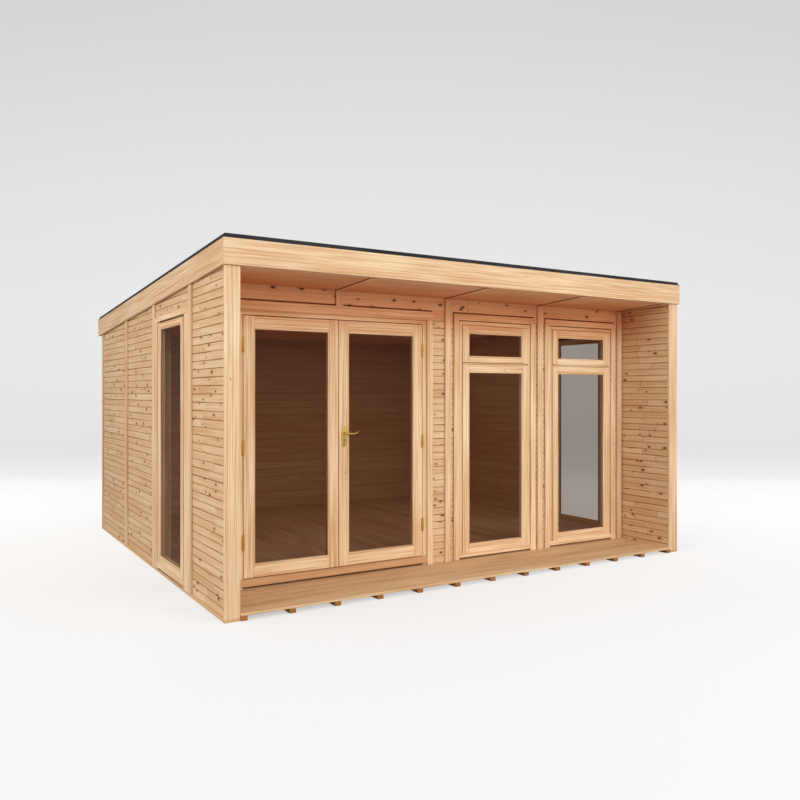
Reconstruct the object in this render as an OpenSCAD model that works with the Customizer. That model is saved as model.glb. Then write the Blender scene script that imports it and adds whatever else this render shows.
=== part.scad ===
// Garden office pod: a timber garden room with a mono-pitch roof, a recessed
// veranda between two wing walls, a pair of glazed doors and four windows.
// Origin: middle of the footprint at ground level. +X right, +Y back, +Z up.

/* [Overall] */
// Width over the fascia boards
roof_w = 4360; // [4250:10:5400]
// Depth over the fascia boards
roof_d = 4236; // [3600:10:5200]
// Height of the roof's front edge above the ground
overall_h = 2500; // [2440:10:3000]
// Fall of the roof to the back, in degrees
roof_slope = 2.65; // [1:0.05:4]

/* [Roof] */
// Height of the fascia boards
fascia_h = 180; // [140:5:230]
// Thickness of the fascia boards
fascia_t = 20; // [16:1:28]
// Thickness of the membrane and the board that it is bonded to
membrane_t = 22; // [12:1:30]
// Distance from the fascia's face back to the membrane's edge
membrane_inset = 12; // [2:1:18]
// Thickness of the soffit and ceiling boards
ceiling_t = 12; // [9:1:18]

/* [Walls] */
// Thickness of a wall with its cladding and lining
wall_t = 90; // [70:1:120]
// Distance from the side fascia's face in to the side wall's face
side_setback = 30; // [26:1:60]
// Distance from the rear fascia's face in to the rear wall's face
rear_setback = 163; // [60:1:300]
// Depth of the veranda, from the front fascia's face to the front wall
veranda_d = 597; // [450:5:900]
// Thickness of the board that covers the front end of a wing wall
post_t = 20; // [16:1:30]
// Width of the cover battens
batten_w = 62; // [45:1:80]
// Thickness of the cover battens and casings, which stand proud of a wall
batten_t = 18; // [12:1:22]
// Distance between battens on the rear wall
rear_pitch = 1022; // [700:1:1200]
// Gap between a corner batten and the wing wall
corner_gap = 15; // [0:1:30]

/* [Floor] */
// Height of the floor joists
joist_h = 32; // [25:1:60]
// Width of the floor joists
joist_w = 46; // [38:1:60]
// Number of floor joists
joist_count = 13; // [9:1:15]
// Height of the rail under a side wall
rail_h = 20; // [15:1:30]
// Thickness of the deck boards
deck_t = 18; // [15:1:28]
// Distance from the fascia's face back to the deck's edge
deck_inset = 10; // [0:1:18]
// Thickness of the room's floor, from the joists up
floor_t = 68; // [40:1:70]

/* [Doors] */
// Distance from the left wing wall to the middle of the doors
door_inset = 1002; // [960:1:1060]
// Width of the pair of door leaves, with the gap between them
doors_w = 1544; // [1280:1:1600]
// Height of the door leaves
leaf_h = 1914; // [1590:1:1925]
// Thickness of the door leaves
leaf_t = 44; // [38:1:54]
// Width of a leaf's stiles
leaf_stile = 90; // [80:1:120]
// Width of a leaf's rails
leaf_rail = 98; // [80:1:140]
// Gap around a leaf
leaf_gap = 5.4; // [5:0.1:8]
// Width of the jambs and the head of the frame
jamb_w = 45; // [40:1:50]
// Thickness of the threshold above its shadow gap
threshold_t = 54; // [40:1:70]
// Width of the door frame that shows between a leaf and its casing
jamb_reveal = 38; // [30:1:50]
// Angle to which each leaf opens
leaf_travel = 105; // [90:1:105]

/* [Ironmongery] */
// Height of a hinge
hinge_h = 112; // [80:1:130]
// Width of a hinge plate, from the pin out
hinge_w = 18; // [14:1:30]
// Diameter of the hinge knuckles
knuckle_d = 12; // [10:0.5:14]
// Diameter of the hinge pins
pin_d = 6; // [4:0.5:7]
// Running clearance of a hinge pin, all round
pin_clearance = 0.05; // [0.03:0.01:0.1]
// Height of the lever's spindle above the foot of the leaf
handle_z = 1034; // [900:1:1150]
// Distance from the meeting edge to the lever's spindle
backset = 44; // [40:1:55]
// Length of the lever from its spindle
lever_l = 120; // [100:1:140]
// Diameter of the lever's collar
collar_d = 18; // [14:1:22]
// Angle that the lever turns down
lever_travel = 40; // [25:1:50]

/* [Windows] */
// Width of a window sash
sash_w = 724; // [600:1:750]
// Width of a sash's stiles and rails
sash_member = 72; // [55:1:85]
// Thickness of a sash
sash_t = 44; // [38:1:54]
// Gap round a fixed sash
sash_gap = 2; // [1:0.5:3]
// Height of the upper sashes in the front windows
vent_h = 335; // [260:1:420]
// Top of the front windows' casings
front_casing_top = 2150; // [2100:1:2200]
// Top of the side windows' casings
side_casing_top = 2100; // [1990:1:2105]
// Width of the casings on the front wall
casing_w = 55; // [40:1:60]
// Width of the window frames' members
frame_w = 48; // [40:1:60]
// Width of a window frame that shows between a sash and its casing
frame_reveal = 33; // [15:1:35]
// Gap between a front window's casing and the batten beside it
casing_gap = 28; // [0:1:40]
// Distance from a side window's frame to the batten beside it
side_casing_lap = 85; // [40:1:120]
// Distance from the front wall's face back to the side windows' middle
side_window_inset = 730; // [650:1:1200]
// How far the right wall's window stands forward of the left wall's
right_window_forward = 58; // [0:1:100]
// Height of the head casing over a side window
side_head_w = 38; // [30:1:50]
// Thickness of the sealed glass units
glass_t = 24; // [14:1:28]
// How far a glass unit sits in its frame
glass_bite = 12; // [8:1:15]
// Height of the shadow gap under a sill
sill_gap = 16; // [8:1:25]
// Height of a window sill's face
sill_h = 40; // [25:1:60]

/* [Hidden] */

timber = "#E0B98A";
timber_light = "#F0D0A5";
timber_floor = "#C49A70";
rubber = "#2C2D30";
brass = "#D9BD4E";
glass = [0.42, 0.35, 0.3, 0.5];

// Planes of the building, each from the sizes above
front_y = -roof_d / 2;
rear_y = roof_d / 2;
side_x = roof_w / 2;
wall_x = side_x - side_setback;
room_x = wall_x - wall_t;
face_y = front_y + veranda_d;
room_front_y = face_y + wall_t;
back_face_y = rear_y - rear_setback;
room_back_y = back_face_y - wall_t;
wall_start_y = front_y + fascia_t + post_t;
deck_top = joist_h + deck_t;
floor_top = joist_h + floor_t;
proud_y = face_y - batten_t;

// Places of the doors and windows
post_w = wall_t + batten_t;
opening_half = sash_w / 2 + sash_gap + frame_w;
window_reach = sash_w / 2 + sash_gap + frame_reveal + casing_w;
side_reach = opening_half + side_casing_lap;
front_pitch = 2 * (window_reach + casing_gap) + batten_w;
side_pitch = 2 * side_reach + batten_w;
door_x = -room_x + door_inset;
batten_c_x = room_x - corner_gap - batten_w / 2;
batten_b_x = batten_c_x - front_pitch;
batten_a_x = batten_b_x - front_pitch;
window_xs = [(batten_a_x + batten_b_x) / 2, (batten_b_x + batten_c_x) / 2];
left_window_y = face_y + side_window_inset;
right_window_y = left_window_y - right_window_forward;
opening_top = front_casing_top - 40;
side_opening_top = side_casing_top - 10;
front_sash_top = front_casing_top - casing_w - 40;
side_sash_top = side_casing_top - side_head_w;
front_sash_low = deck_top + sill_gap + sill_h;
side_sash_low = rail_h + sill_gap + sill_h;
split_z = front_sash_top - vent_h;

// Places of the door leaves
threshold_top = deck_top + sill_gap + threshold_t;
leaf_z = threshold_top + leaf_gap;
leaf_top = leaf_z + leaf_h;
leaf_w = (doors_w - leaf_gap) / 2;
leaf_edge = doors_w / 2;
jamb_edge = leaf_edge + leaf_gap;
door_half = jamb_edge + jamb_w;
head_z = leaf_top + leaf_gap;
casing_edge = jamb_edge + jamb_reveal;
casing_reach = casing_edge + casing_w;
stop_y = face_y + leaf_t + leaf_gap;
stop_w = 12;
edge_bevel = 3;

// How far the foot under a sill stands back from the wall's face
foot_setback = 30;

// Hinges: the pin stands in front of the leaf, over the middle of the gap
hinge_x = leaf_edge + leaf_gap / 2;
hinge_y = face_y - knuckle_d / 2 - 1;
hinge_zs = [leaf_z + 260, leaf_z + 950, leaf_top - 212];
hinge_plate_t = 2.5;
hinge_gap = 0.5;

// Handle
spindle_x = door_x + leaf_gap / 2 + backset;
spindle_z = leaf_z + handle_z;
spindle_d = 8;
spindle_hole_d = 14;
plate_h = 165;
plate_w = 38;
plate_t = 5;
lever_t = 11;
lever_reach = 38;
keyhole_drop = 50;

// Middle of the window in the left wall, side = -1, or in the right wall, side = 1
function window_y(side) = side < 0 ? left_window_y : right_window_y;
// Height of the fascia's top edge, along the roof's fall
function eaves_z(y) =
    overall_h - membrane_t - tan(roof_slope) * (y - front_y - membrane_inset);
// Height of the underside of the soffit, and of the roof above it
function soffit_z(y) = eaves_z(y) - fascia_h;
function roof_z(y) = soffit_z(y) + ceiling_t;

// Gap left at a sloping face, so that two pieces meet there without an overlap
seat_gap = 0.02;

// A box between two corners
module block(low, high) {
    translate(low) cube(high - low);
}

// A length along X of an outline that is drawn in Y and Z
module along_x(x0, x1, outline) {
    translate([x0, 0, 0]) rotate([90, 0, 90]) linear_extrude(x1 - x0) polygon(outline);
}

// A piece with a level foot whose top meets the underside of the roof
module under_roof(x0, x1, y0, y1, foot) {
    along_x(x0, x1, [[y0, foot], [y1, foot],
        [y1, roof_z(y1) - seat_gap], [y0, roof_z(y0) - seat_gap]]);
}

// The same, meeting the underside of the soffit
module under_soffit(x0, x1, y0, y1, foot) {
    along_x(x0, x1, [[y0, foot], [y1, foot],
        [y1, soffit_z(y1) - seat_gap], [y0, soffit_z(y0) - seat_gap]]);
}

// A sheet that follows the roof, from one height above the soffit to another
module along_roof(x0, x1, y0, y1, low, high) {
    along_x(x0, x1, [[y0, soffit_z(y0) + low], [y1, soffit_z(y1) + low],
        [y1, soffit_z(y1) + high], [y0, soffit_z(y0) + high]]);
}

// ---------------------------------------------------------------- floor
module floor_bearers() {
    span = 2 * room_x - joist_w;
    color(timber) {
        for (i = [0:joist_count - 1]) {
            x = -room_x + span * i / (joist_count - 1);
            block([x, front_y + deck_inset, 0], [x + joist_w, back_face_y, joist_h]);
        }
        for (side = [-1, 1])
            scale_x(side)
                block([room_x + 1, front_y + fascia_t, 0],
                    [wall_x + batten_t, back_face_y + batten_t, rail_h]);
    }
}

// Mirrors its children to the left for side = -1
module scale_x(side) {
    if (side < 0) mirror([1, 0, 0]) children();
    else children();
}

module room_floor() {
    color(timber_floor)
        block([-room_x, room_front_y, joist_h], [room_x, room_back_y, floor_top]);
}

module veranda_deck() {
    color(timber_floor)
        block([-room_x, front_y + deck_inset, joist_h], [room_x, room_front_y, deck_top]);
}

// ---------------------------------------------------------------- walls
module side_front_panel(side) {
    color(timber) scale_x(side)
        under_roof(room_x, wall_x, wall_start_y, window_y(side) - opening_half, rail_h);
}

module side_rear_panel(side) {
    color(timber) scale_x(side)
        under_roof(room_x, wall_x, window_y(side) + opening_half, back_face_y, rail_h);
}

module side_over_window(side) {
    color(timber) scale_x(side)
        under_roof(room_x, wall_x, window_y(side) - opening_half,
            window_y(side) + opening_half, side_opening_top);
}

module left_front_panel() { side_front_panel(-1); }
module right_front_panel() { side_front_panel(1); }
module left_rear_panel() { side_rear_panel(-1); }
module right_rear_panel() { side_rear_panel(1); }
module left_over_window() { side_over_window(-1); }
module right_over_window() { side_over_window(1); }

module rear_wall() {
    color(timber) under_roof(-room_x, room_x, room_back_y, back_face_y, joist_h);
}

module front_pier(x0, x1) {
    color(timber) block([x0, face_y, deck_top], [x1, room_front_y, opening_top]);
}

module front_pier_left() { front_pier(-room_x, door_x - door_half); }
module front_pier_middle() { front_pier(door_x + door_half, window_xs[0] - opening_half); }
module front_pier_between_windows() {
    front_pier(window_xs[0] + opening_half, window_xs[1] - opening_half);
}
module front_pier_right() { front_pier(window_xs[1] + opening_half, room_x); }

module front_header() {
    color(timber) under_roof(-room_x, room_x, face_y, room_front_y, opening_top);
}

module post(side) {
    color(timber_light) scale_x(side)
        under_soffit(wall_x + batten_t - post_w, wall_x + batten_t,
            front_y + fascia_t, wall_start_y, rail_h);
}

module post_left() { post(-1); }
module post_right() { post(1); }

// ---------------------------------------------------------------- battens
module side_battens(side) {
    color(timber) scale_x(side)
        for (i = [-0.5, 0.5, 1.5]) {
            y = window_y(side) + i * side_pitch;
            under_soffit(wall_x, wall_x + batten_t, y - batten_w / 2, y + batten_w / 2, rail_h);
        }
}

module left_battens() { side_battens(-1); }
module right_battens() { side_battens(1); }

module front_batten(x, foot) {
    under_soffit(x - batten_w / 2, x + batten_w / 2, proud_y, face_y, foot);
}

module front_battens() {
    color(timber) {
        for (x = [batten_a_x, batten_b_x, batten_c_x, -batten_c_x])
            front_batten(x, deck_top);
        front_batten(door_x, front_casing_top);
    }
}

module rear_battens() {
    corner = wall_x + batten_t;
    color(timber) {
        for (i = [-1, 0, 1])
            under_soffit(i * rear_pitch - batten_w / 2, i * rear_pitch + batten_w / 2,
                back_face_y, back_face_y + batten_t, joist_h);
        for (side = [-1, 1])
            scale_x(side)
                under_soffit(corner - post_w, corner, back_face_y, back_face_y + batten_t, rail_h);
    }
}

// ---------------------------------------------------------------- roof
module roof_panel() {
    color(timber)
        along_roof(-side_x + fascia_t, side_x - fascia_t, front_y + fascia_t,
            rear_y - fascia_t, ceiling_t, fascia_h);
}

module roof_membrane() {
    edge = side_x - membrane_inset;
    color(rubber)
        along_roof(-edge, edge, front_y + membrane_inset, rear_y - membrane_inset,
            fascia_h + seat_gap, fascia_h + membrane_t);
}

// Soffit over the veranda, ceiling over the room, soffit under the rear eaves
module ceiling_boards() {
    eaves_x = side_x - fascia_t;
    board = ceiling_t - seat_gap;
    color(timber) {
        along_roof(-room_x, room_x, wall_start_y, face_y, 0, board);
        along_roof(-room_x, room_x, room_front_y, room_back_y, 0, board);
        along_roof(-eaves_x, eaves_x, back_face_y, rear_y - fascia_t, 0, board);
    }
}

module fascia_front() {
    color(timber_light) along_roof(-side_x, side_x, front_y, front_y + fascia_t, 0, fascia_h);
}

module fascia_rear() {
    color(timber_light) along_roof(-side_x, side_x, rear_y - fascia_t, rear_y, 0, fascia_h);
}

module fascia_side(side) {
    color(timber_light) scale_x(side)
        along_roof(side_x - fascia_t, side_x, front_y + fascia_t, rear_y - fascia_t, 0, fascia_h);
}

module fascia_left() { fascia_side(-1); }
module fascia_right() { fascia_side(1); }

// ---------------------------------------------------------------- door frame
// A jamb with its stop, and the casing board on the wall beside it
module door_jamb(side) {
    color(timber) translate([door_x, 0, 0]) scale_x(side) {
        block([jamb_edge, face_y, deck_top], [door_half, room_front_y, head_z]);
        block([jamb_edge - stop_w, stop_y, threshold_top], [door_half, room_front_y, head_z]);
        block([casing_edge, proud_y, deck_top],
            [casing_reach, face_y, front_casing_top - casing_w]);
    }
}

module door_frame_left() { door_jamb(-1); }
module door_frame_right() { door_jamb(1); }

module door_frame_head() {
    color(timber) translate([door_x, 0, 0]) {
        block([-door_half, face_y, head_z], [door_half, room_front_y, opening_top]);
        block([-jamb_edge + stop_w, stop_y, head_z - stop_w],
            [jamb_edge - stop_w, room_front_y, opening_top]);
        block([-casing_reach, proud_y, front_casing_top - casing_w],
            [casing_reach, face_y, front_casing_top]);
    }
}

// The threshold overhangs its foot, which leaves the shadow gap under it
module door_threshold() {
    color(timber) translate([door_x, 0, 0]) {
        block([-jamb_edge, face_y, deck_top + sill_gap], [jamb_edge, room_front_y, threshold_top]);
        block([-jamb_edge, face_y + foot_setback, deck_top], [jamb_edge, room_front_y, threshold_top]);
        block([-casing_edge, proud_y, deck_top + sill_gap], [casing_edge, face_y, threshold_top]);
    }
}

// ---------------------------------------------------------------- door leaves
// A leaf hung on its outer edge: bevelled meeting edge, glass opening, groove
module leaf_frame(side) {
    meeting = leaf_gap / 2;
    glass_low = leaf_z + leaf_rail;
    glass_high = leaf_top - leaf_rail;
    difference() {
        translate([door_x, face_y, leaf_z]) scale_x(side) linear_extrude(leaf_h)
            polygon([[leaf_edge, 0], [meeting, 0], [meeting + edge_bevel, leaf_t],
                [leaf_edge, leaf_t]]);
        translate([door_x, 0, 0]) scale_x(side) {
            block([meeting + leaf_stile, face_y - 1, glass_low],
                [leaf_edge - leaf_stile, face_y + leaf_t + 1, glass_high]);
            leaf_glass_block(glass_bite + 1);
        }
    }
}

// The space that a leaf's glass takes, reaching past the opening by "bite"
module leaf_glass_block(bite) {
    y = face_y + (leaf_t - glass_t) / 2;
    block([leaf_gap / 2 + leaf_stile - bite, y, leaf_z + leaf_rail - bite],
        [leaf_edge - leaf_stile + bite, y + glass_t, leaf_top - leaf_rail + bite]);
}

module door_leaf_left() { color(timber) leaf_frame(-1); }

module door_leaf_right() {
    color(timber) difference() {
        leaf_frame(1);
        translate([spindle_x, face_y - 1, spindle_z]) rotate([-90, 0, 0])
            cylinder(d = spindle_hole_d, h = leaf_t + 2, $fn = 48);
    }
}

module door_glass_left() {
    color(glass) translate([door_x, 0, 0]) scale_x(-1) leaf_glass_block(glass_bite);
}

module door_glass_right() {
    color(glass) translate([door_x, 0, 0]) leaf_glass_block(glass_bite);
}

// ---------------------------------------------------------------- hinges
// Plate on a face, from the tongue beside the pin out; "out" is +1 or -1 along X
module hinge_plate(out) {
    y = face_y - hinge_plate_t;
    x0 = min(out * (knuckle_d / 2 + 1), out * hinge_w);
    x1 = max(out * (knuckle_d / 2 + 1), out * hinge_w);
    block([x0, y, -hinge_h / 2], [x1, face_y, hinge_h / 2]);
}

module hinge_tongue(out, low, high) {
    x0 = min(out * 1, out * (knuckle_d / 2 + 2));
    x1 = max(out * 1, out * (knuckle_d / 2 + 2));
    block([x0, face_y - hinge_plate_t, low], [x1, face_y, high]);
}

// The half of a hinge on the jamb: plate, two knuckles and the pin
module jamb_hinge(side) {
    third = hinge_h / 6;
    hinge_plate(side);
    for (end = [-1, 1]) {
        low = end < 0 ? -hinge_h / 2 : third + hinge_gap / 2;
        high = end < 0 ? -third - hinge_gap / 2 : hinge_h / 2;
        hinge_tongue(side, low, high);
        translate([0, hinge_y, low]) cylinder(d = knuckle_d, h = high - low, $fn = 48);
    }
    translate([0, hinge_y, -hinge_h / 2 + 2]) cylinder(d = pin_d, h = hinge_h - 4, $fn = 48);
}

// The half on the leaf: plate and the bored middle knuckle
module leaf_hinge(side) {
    half = hinge_h / 6 - hinge_gap / 2;
    difference() {
        union() {
            hinge_plate(-side);
            hinge_tongue(-side, -half, half);
            translate([0, hinge_y, -half]) cylinder(d = knuckle_d, h = 2 * half, $fn = 48);
        }
        translate([0, hinge_y, -half - 1])
            cylinder(d = pin_d + 2 * pin_clearance, h = 2 * half + 2, $fn = 48);
    }
}

module at_hinges(side) {
    for (z = hinge_zs)
        translate([door_x + side * hinge_x, 0, z]) children();
}

module frame_hinges() {
    color(brass) {
        at_hinges(-1) jamb_hinge(-1);
        at_hinges(1) jamb_hinge(1);
    }
}

module left_leaf_hinges() { color(brass) at_hinges(-1) leaf_hinge(-1); }
module right_leaf_hinges() { color(brass) at_hinges(1) leaf_hinge(1); }

// ---------------------------------------------------------------- handle
// A long plate with a round hole for the lever's collar and a keyhole
module handle_plate(y) {
    difference() {
        translate([spindle_x, y, spindle_z - 22]) rotate([-90, 0, 0])
            linear_extrude(plate_t) plate_outline();
        translate([spindle_x, y - 1, spindle_z]) rotate([-90, 0, 0])
            cylinder(d = collar_d + 1, h = plate_t + 2, $fn = 48);
        translate([spindle_x, y - 1, spindle_z - keyhole_drop]) rotate([-90, 0, 0])
            cylinder(d = 8, h = plate_t + 2, $fn = 32);
    }
}

// A rectangle with half-round ends
module plate_outline() {
    r = plate_w / 2;
    square([plate_w, plate_h - plate_w], center = true);
    for (end = [-1, 1])
        translate([0, end * (plate_h / 2 - r)]) circle(r = r, $fn = 64);
}

module handle_plates() {
    color(brass) {
        handle_plate(face_y - plate_t);
        handle_plate(face_y + leaf_t);
    }
}

// The lever's wave: it dips past the middle and turns up at the tip
function lever_dip(t) = -7 * sin(180 * t) * t + 16 * pow(t, 6);
function lever_half(t) = 8 - 3 * t;
module lever_arm() {
    steps = 24;
    top = [for (i = [0:steps]) let (t = i / steps)
        [lever_l * t, lever_dip(t) + lever_half(t)]];
    bottom = [for (i = [steps:-1:0]) let (t = i / steps)
        [lever_l * t, lever_dip(t) - lever_half(t)]];
    polygon(concat(top, bottom));
}

// A collar, neck and arm on one face of the leaf; "out" points away from it
module lever_half_set(face, out) {
    tip = face + out * (plate_t + lever_reach);
    arm = out < 0 ? tip : tip - lever_t;
    collar = out < 0 ? [tip, face - 1] : [face + 1, tip];
    translate([spindle_x, collar[0], spindle_z]) rotate([-90, 0, 0])
        cylinder(d = collar_d, h = collar[1] - collar[0], $fn = 48);
    translate([spindle_x, arm + lever_t, spindle_z]) rotate([90, 0, 0])
        linear_extrude(lever_t) lever_arm();
}

module handle_lever() {
    color(brass) {
        lever_half_set(face_y, -1);
        lever_half_set(face_y + leaf_t, 1);
        translate([spindle_x, face_y - 2, spindle_z]) rotate([-90, 0, 0])
            cylinder(d = spindle_d, h = leaf_t + 4, $fn = 32);
    }
}

// ---------------------------------------------------------------- windows
// A ring in the XZ plane between two depths: outer half width and heights,
// less the inner ones
module ring(y0, y1, outer, inner) {
    difference() {
        block([-outer[0], y0, outer[1]], [outer[0], y1, outer[2]]);
        block([-inner[0], y0 - 1, inner[1]], [inner[0], y1 + 1, inner[2]]);
    }
}

// A frame in its wall opening, with its casings and its recessed foot, about
// x = 0 with the wall's face at y = 0; "foot" is the height that it stands on
module window_frame(foot, sash_top, top, casing_top, reach) {
    inner = [sash_w / 2 + sash_gap, foot + sill_gap + sill_h, sash_top];
    sill = foot + sill_gap;
    ring(0, wall_t, [opening_half, sill, top], inner);
    ring(-batten_t, 0, [opening_half - 10, sill, casing_top], inner);
    for (side = [-1, 1])
        scale_x(side)
            block([opening_half - 25, -batten_t, foot], [reach, 0, casing_top]);
    block([-opening_half, foot_setback, foot], [opening_half, wall_t, sill]);
}

// A sash with the groove for its glass, about x = 0
module window_sash(low, high) {
    inner = [sash_w / 2 - sash_member, low + sash_member, high - sash_member];
    difference() {
        ring(-batten_t, sash_t - batten_t, [sash_w / 2, low, high], inner);
        sash_glass(low, high, glass_bite + 1);
    }
}

module sash_glass(low, high, bite) {
    half = sash_w / 2 - sash_member + bite;
    y = (sash_t - glass_t) / 2 - batten_t;
    block([-half, y, low + sash_member - bite], [half, y + glass_t, high - sash_member + bite]);
}

module at_front_windows() {
    for (x = window_xs)
        translate([x, face_y, 0]) children();
}

module front_window_frames() {
    color(timber) at_front_windows()
        window_frame(deck_top, front_sash_top, opening_top, front_casing_top, window_reach);
}

module front_window_sashes() {
    color(timber) at_front_windows() {
        window_sash(split_z + sash_gap, front_sash_top);
        window_sash(front_sash_low, split_z);
    }
}

module front_window_glass() {
    color(glass) at_front_windows() {
        sash_glass(split_z + sash_gap, front_sash_top, glass_bite);
        sash_glass(front_sash_low, split_z, glass_bite);
    }
}

// Turns a window about x = 0 so that it faces out of a side wall
module in_side_wall(side) {
    scale_x(side) translate([wall_x, window_y(side), 0]) rotate([0, 0, 90]) children();
}

module side_window_frame(side) {
    color(timber) in_side_wall(side)
        window_frame(rail_h, side_sash_top, side_opening_top, side_casing_top, side_reach);
}

module side_window_sash(side) {
    color(timber) in_side_wall(side) window_sash(side_sash_low, side_sash_top);
}

module side_window_glass(side) {
    color(glass) in_side_wall(side) sash_glass(side_sash_low, side_sash_top, glass_bite);
}

module left_window_frame() { side_window_frame(-1); }
module left_window_sash() { side_window_sash(-1); }
module left_window_glass() { side_window_glass(-1); }
module right_window_frame() { side_window_frame(1); }
module right_window_sash() { side_window_sash(1); }
module right_window_glass() { side_window_glass(1); }

floor_bearers();
room_floor();
veranda_deck();
left_front_panel();
left_rear_panel();
left_over_window();
right_front_panel();
right_rear_panel();
right_over_window();
rear_wall();
front_pier_left();
front_pier_middle();
front_pier_between_windows();
front_pier_right();
front_header();
post_left();
post_right();
left_battens();
right_battens();
front_battens();
rear_battens();
roof_panel();
roof_membrane();
ceiling_boards();
fascia_front();
fascia_rear();
fascia_left();
fascia_right();
door_frame_left();
door_frame_right();
door_frame_head();
door_threshold();
door_leaf_left();
door_leaf_right();
door_glass_left();
door_glass_right();
frame_hinges();
left_leaf_hinges();
right_leaf_hinges();
handle_plates();
handle_lever();
front_window_frames();
front_window_sashes();
front_window_glass();
left_window_frame();
left_window_sash();
left_window_glass();
right_window_frame();
right_window_sash();
right_window_glass();
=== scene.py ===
import math

import bpy
import numpy as np
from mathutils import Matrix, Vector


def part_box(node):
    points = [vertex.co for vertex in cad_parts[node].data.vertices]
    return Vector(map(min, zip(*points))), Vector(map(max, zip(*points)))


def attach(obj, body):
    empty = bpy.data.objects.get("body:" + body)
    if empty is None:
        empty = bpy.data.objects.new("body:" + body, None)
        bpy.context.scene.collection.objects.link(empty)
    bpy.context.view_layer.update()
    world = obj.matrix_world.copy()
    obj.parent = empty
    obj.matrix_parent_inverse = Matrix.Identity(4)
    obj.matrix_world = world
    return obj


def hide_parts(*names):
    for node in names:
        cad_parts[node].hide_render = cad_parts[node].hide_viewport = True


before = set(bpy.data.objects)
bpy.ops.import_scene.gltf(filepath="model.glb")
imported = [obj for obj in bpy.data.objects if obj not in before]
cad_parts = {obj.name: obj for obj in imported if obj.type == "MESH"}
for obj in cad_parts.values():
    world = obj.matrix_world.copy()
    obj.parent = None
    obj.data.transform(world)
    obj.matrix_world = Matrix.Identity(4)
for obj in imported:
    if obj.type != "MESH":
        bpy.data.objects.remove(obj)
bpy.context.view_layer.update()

# -------- studio
# A roll of grey paper makes the floor and bends up behind the building. To the camera it
# glows with painted light, nearly white round the building and greyer up the bend. The
# light is a bright overcast dome, a large soft panel in front and another to the left,
# so the porch is lit only by what comes in under the roof's edge.

VIEW_TURN = math.radians(31.37)  # the camera's heading, clockwise from +Y
SWEEP_BEND = 4.0  # radius of the paper's bend
SWEEP_START = 5.6  # where the bend starts, behind the building's middle
SWEEP_HEIGHT = 16.0
SWEEP_SPAN = 45.0
# The paper's painted glow: the strength of its emission at distances in metres along it from the building's
# middle
GLOW_PLACE = [-5.0, -3.4, -2.35, -0.6, 1.1, 2.8, 5.2, 6.35, 7.3, 8.95, 11.4, 13.7, 18.1]
GLOW = [0.46, 0.50, 0.52, 0.60, 0.68, 0.69, 0.66, 0.56, 0.47, 0.47, 0.50, 0.47, 0.36]


def linear(code):
    """A colour written as sRGB hex, turned to the linear values that shaders take."""
    part = [int(code[i : i + 2], 16) / 255 for i in (1, 3, 5)]
    return tuple(c / 12.92 if c <= 0.04045 else ((c + 0.055) / 1.055) ** 2.4 for c in part) + (1,)


def add(tree, kind, links=None, **settings):
    """Adds one shader node: settings are its properties, links its inputs by name or number.

    An input gets a value, a socket, or the first output of a node. On Map Range, inputs 1
    and 2 are the range read and 3 and 4 the range given; on Mix, 6 and 7 are the colours."""
    node = tree.nodes.new("ShaderNode" + kind)
    for key, value in settings.items():
        setattr(node, key, value)
    for key, value in (links or {}).items():
        if isinstance(value, bpy.types.Node):
            value = value.outputs[0]
        if isinstance(value, bpy.types.NodeSocket):
            tree.links.new(value, node.inputs[key])
        else:
            node.inputs[key].default_value = value
    return node


def new_material(name):
    """An empty node material and its tree."""
    material = bpy.data.materials.new(name)
    material.use_nodes = True
    material.node_tree.nodes.clear()
    return material, material.node_tree


def sweep_mesh():
    """A flat line, a quarter circle and an upright line, carried sideways along a straight path."""
    bend = np.linspace(0, math.pi / 2, 25)
    flat = np.linspace(-SWEEP_SPAN, SWEEP_START, 92)[:-1]
    rise = np.linspace(SWEEP_BEND, SWEEP_HEIGHT, 13)[1:]
    wall = np.full(rise.size, SWEEP_START + SWEEP_BEND)
    ahead = np.concatenate([flat, SWEEP_START + SWEEP_BEND * np.sin(bend), wall])
    height = np.concatenate([0 * flat, SWEEP_BEND * (1 - np.cos(bend)), rise])
    side = np.linspace(-SWEEP_SPAN, SWEEP_SPAN, 9)
    a, s = np.meshgrid(ahead, side, indexing="ij")
    h = np.repeat(height[:, None], side.size, axis=1)
    x = a * math.sin(VIEW_TURN) + s * math.cos(VIEW_TURN)
    y = a * math.cos(VIEW_TURN) - s * math.sin(VIEW_TURN)
    index = np.arange(a.size).reshape(a.shape)
    faces = np.stack([index[1:, :-1], index[1:, 1:], index[:-1, 1:], index[:-1, :-1]], -1)
    mesh = bpy.data.meshes.new("paper_sweep")
    mesh.from_pydata(np.stack([x, y, h], -1).reshape(-1, 3).tolist(), [], faces.reshape(-1, 4).tolist())
    mesh.polygons.foreach_set("use_smooth", [True] * len(mesh.polygons))
    path = np.concatenate([[0], np.cumsum(np.hypot(np.diff(ahead), np.diff(height)))]) - SWEEP_SPAN
    # Painted glow: the emission strength at each point, by its place along the paper
    glow = np.repeat(np.interp(path, GLOW_PLACE, GLOW), side.size).astype(np.float32)
    mesh.attributes.new("glow", "FLOAT", "POINT").data.foreach_set("value", glow)
    return mesh


sweep = bpy.data.objects.new("paper_sweep", sweep_mesh())
bpy.context.scene.collection.objects.link(sweep)
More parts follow.
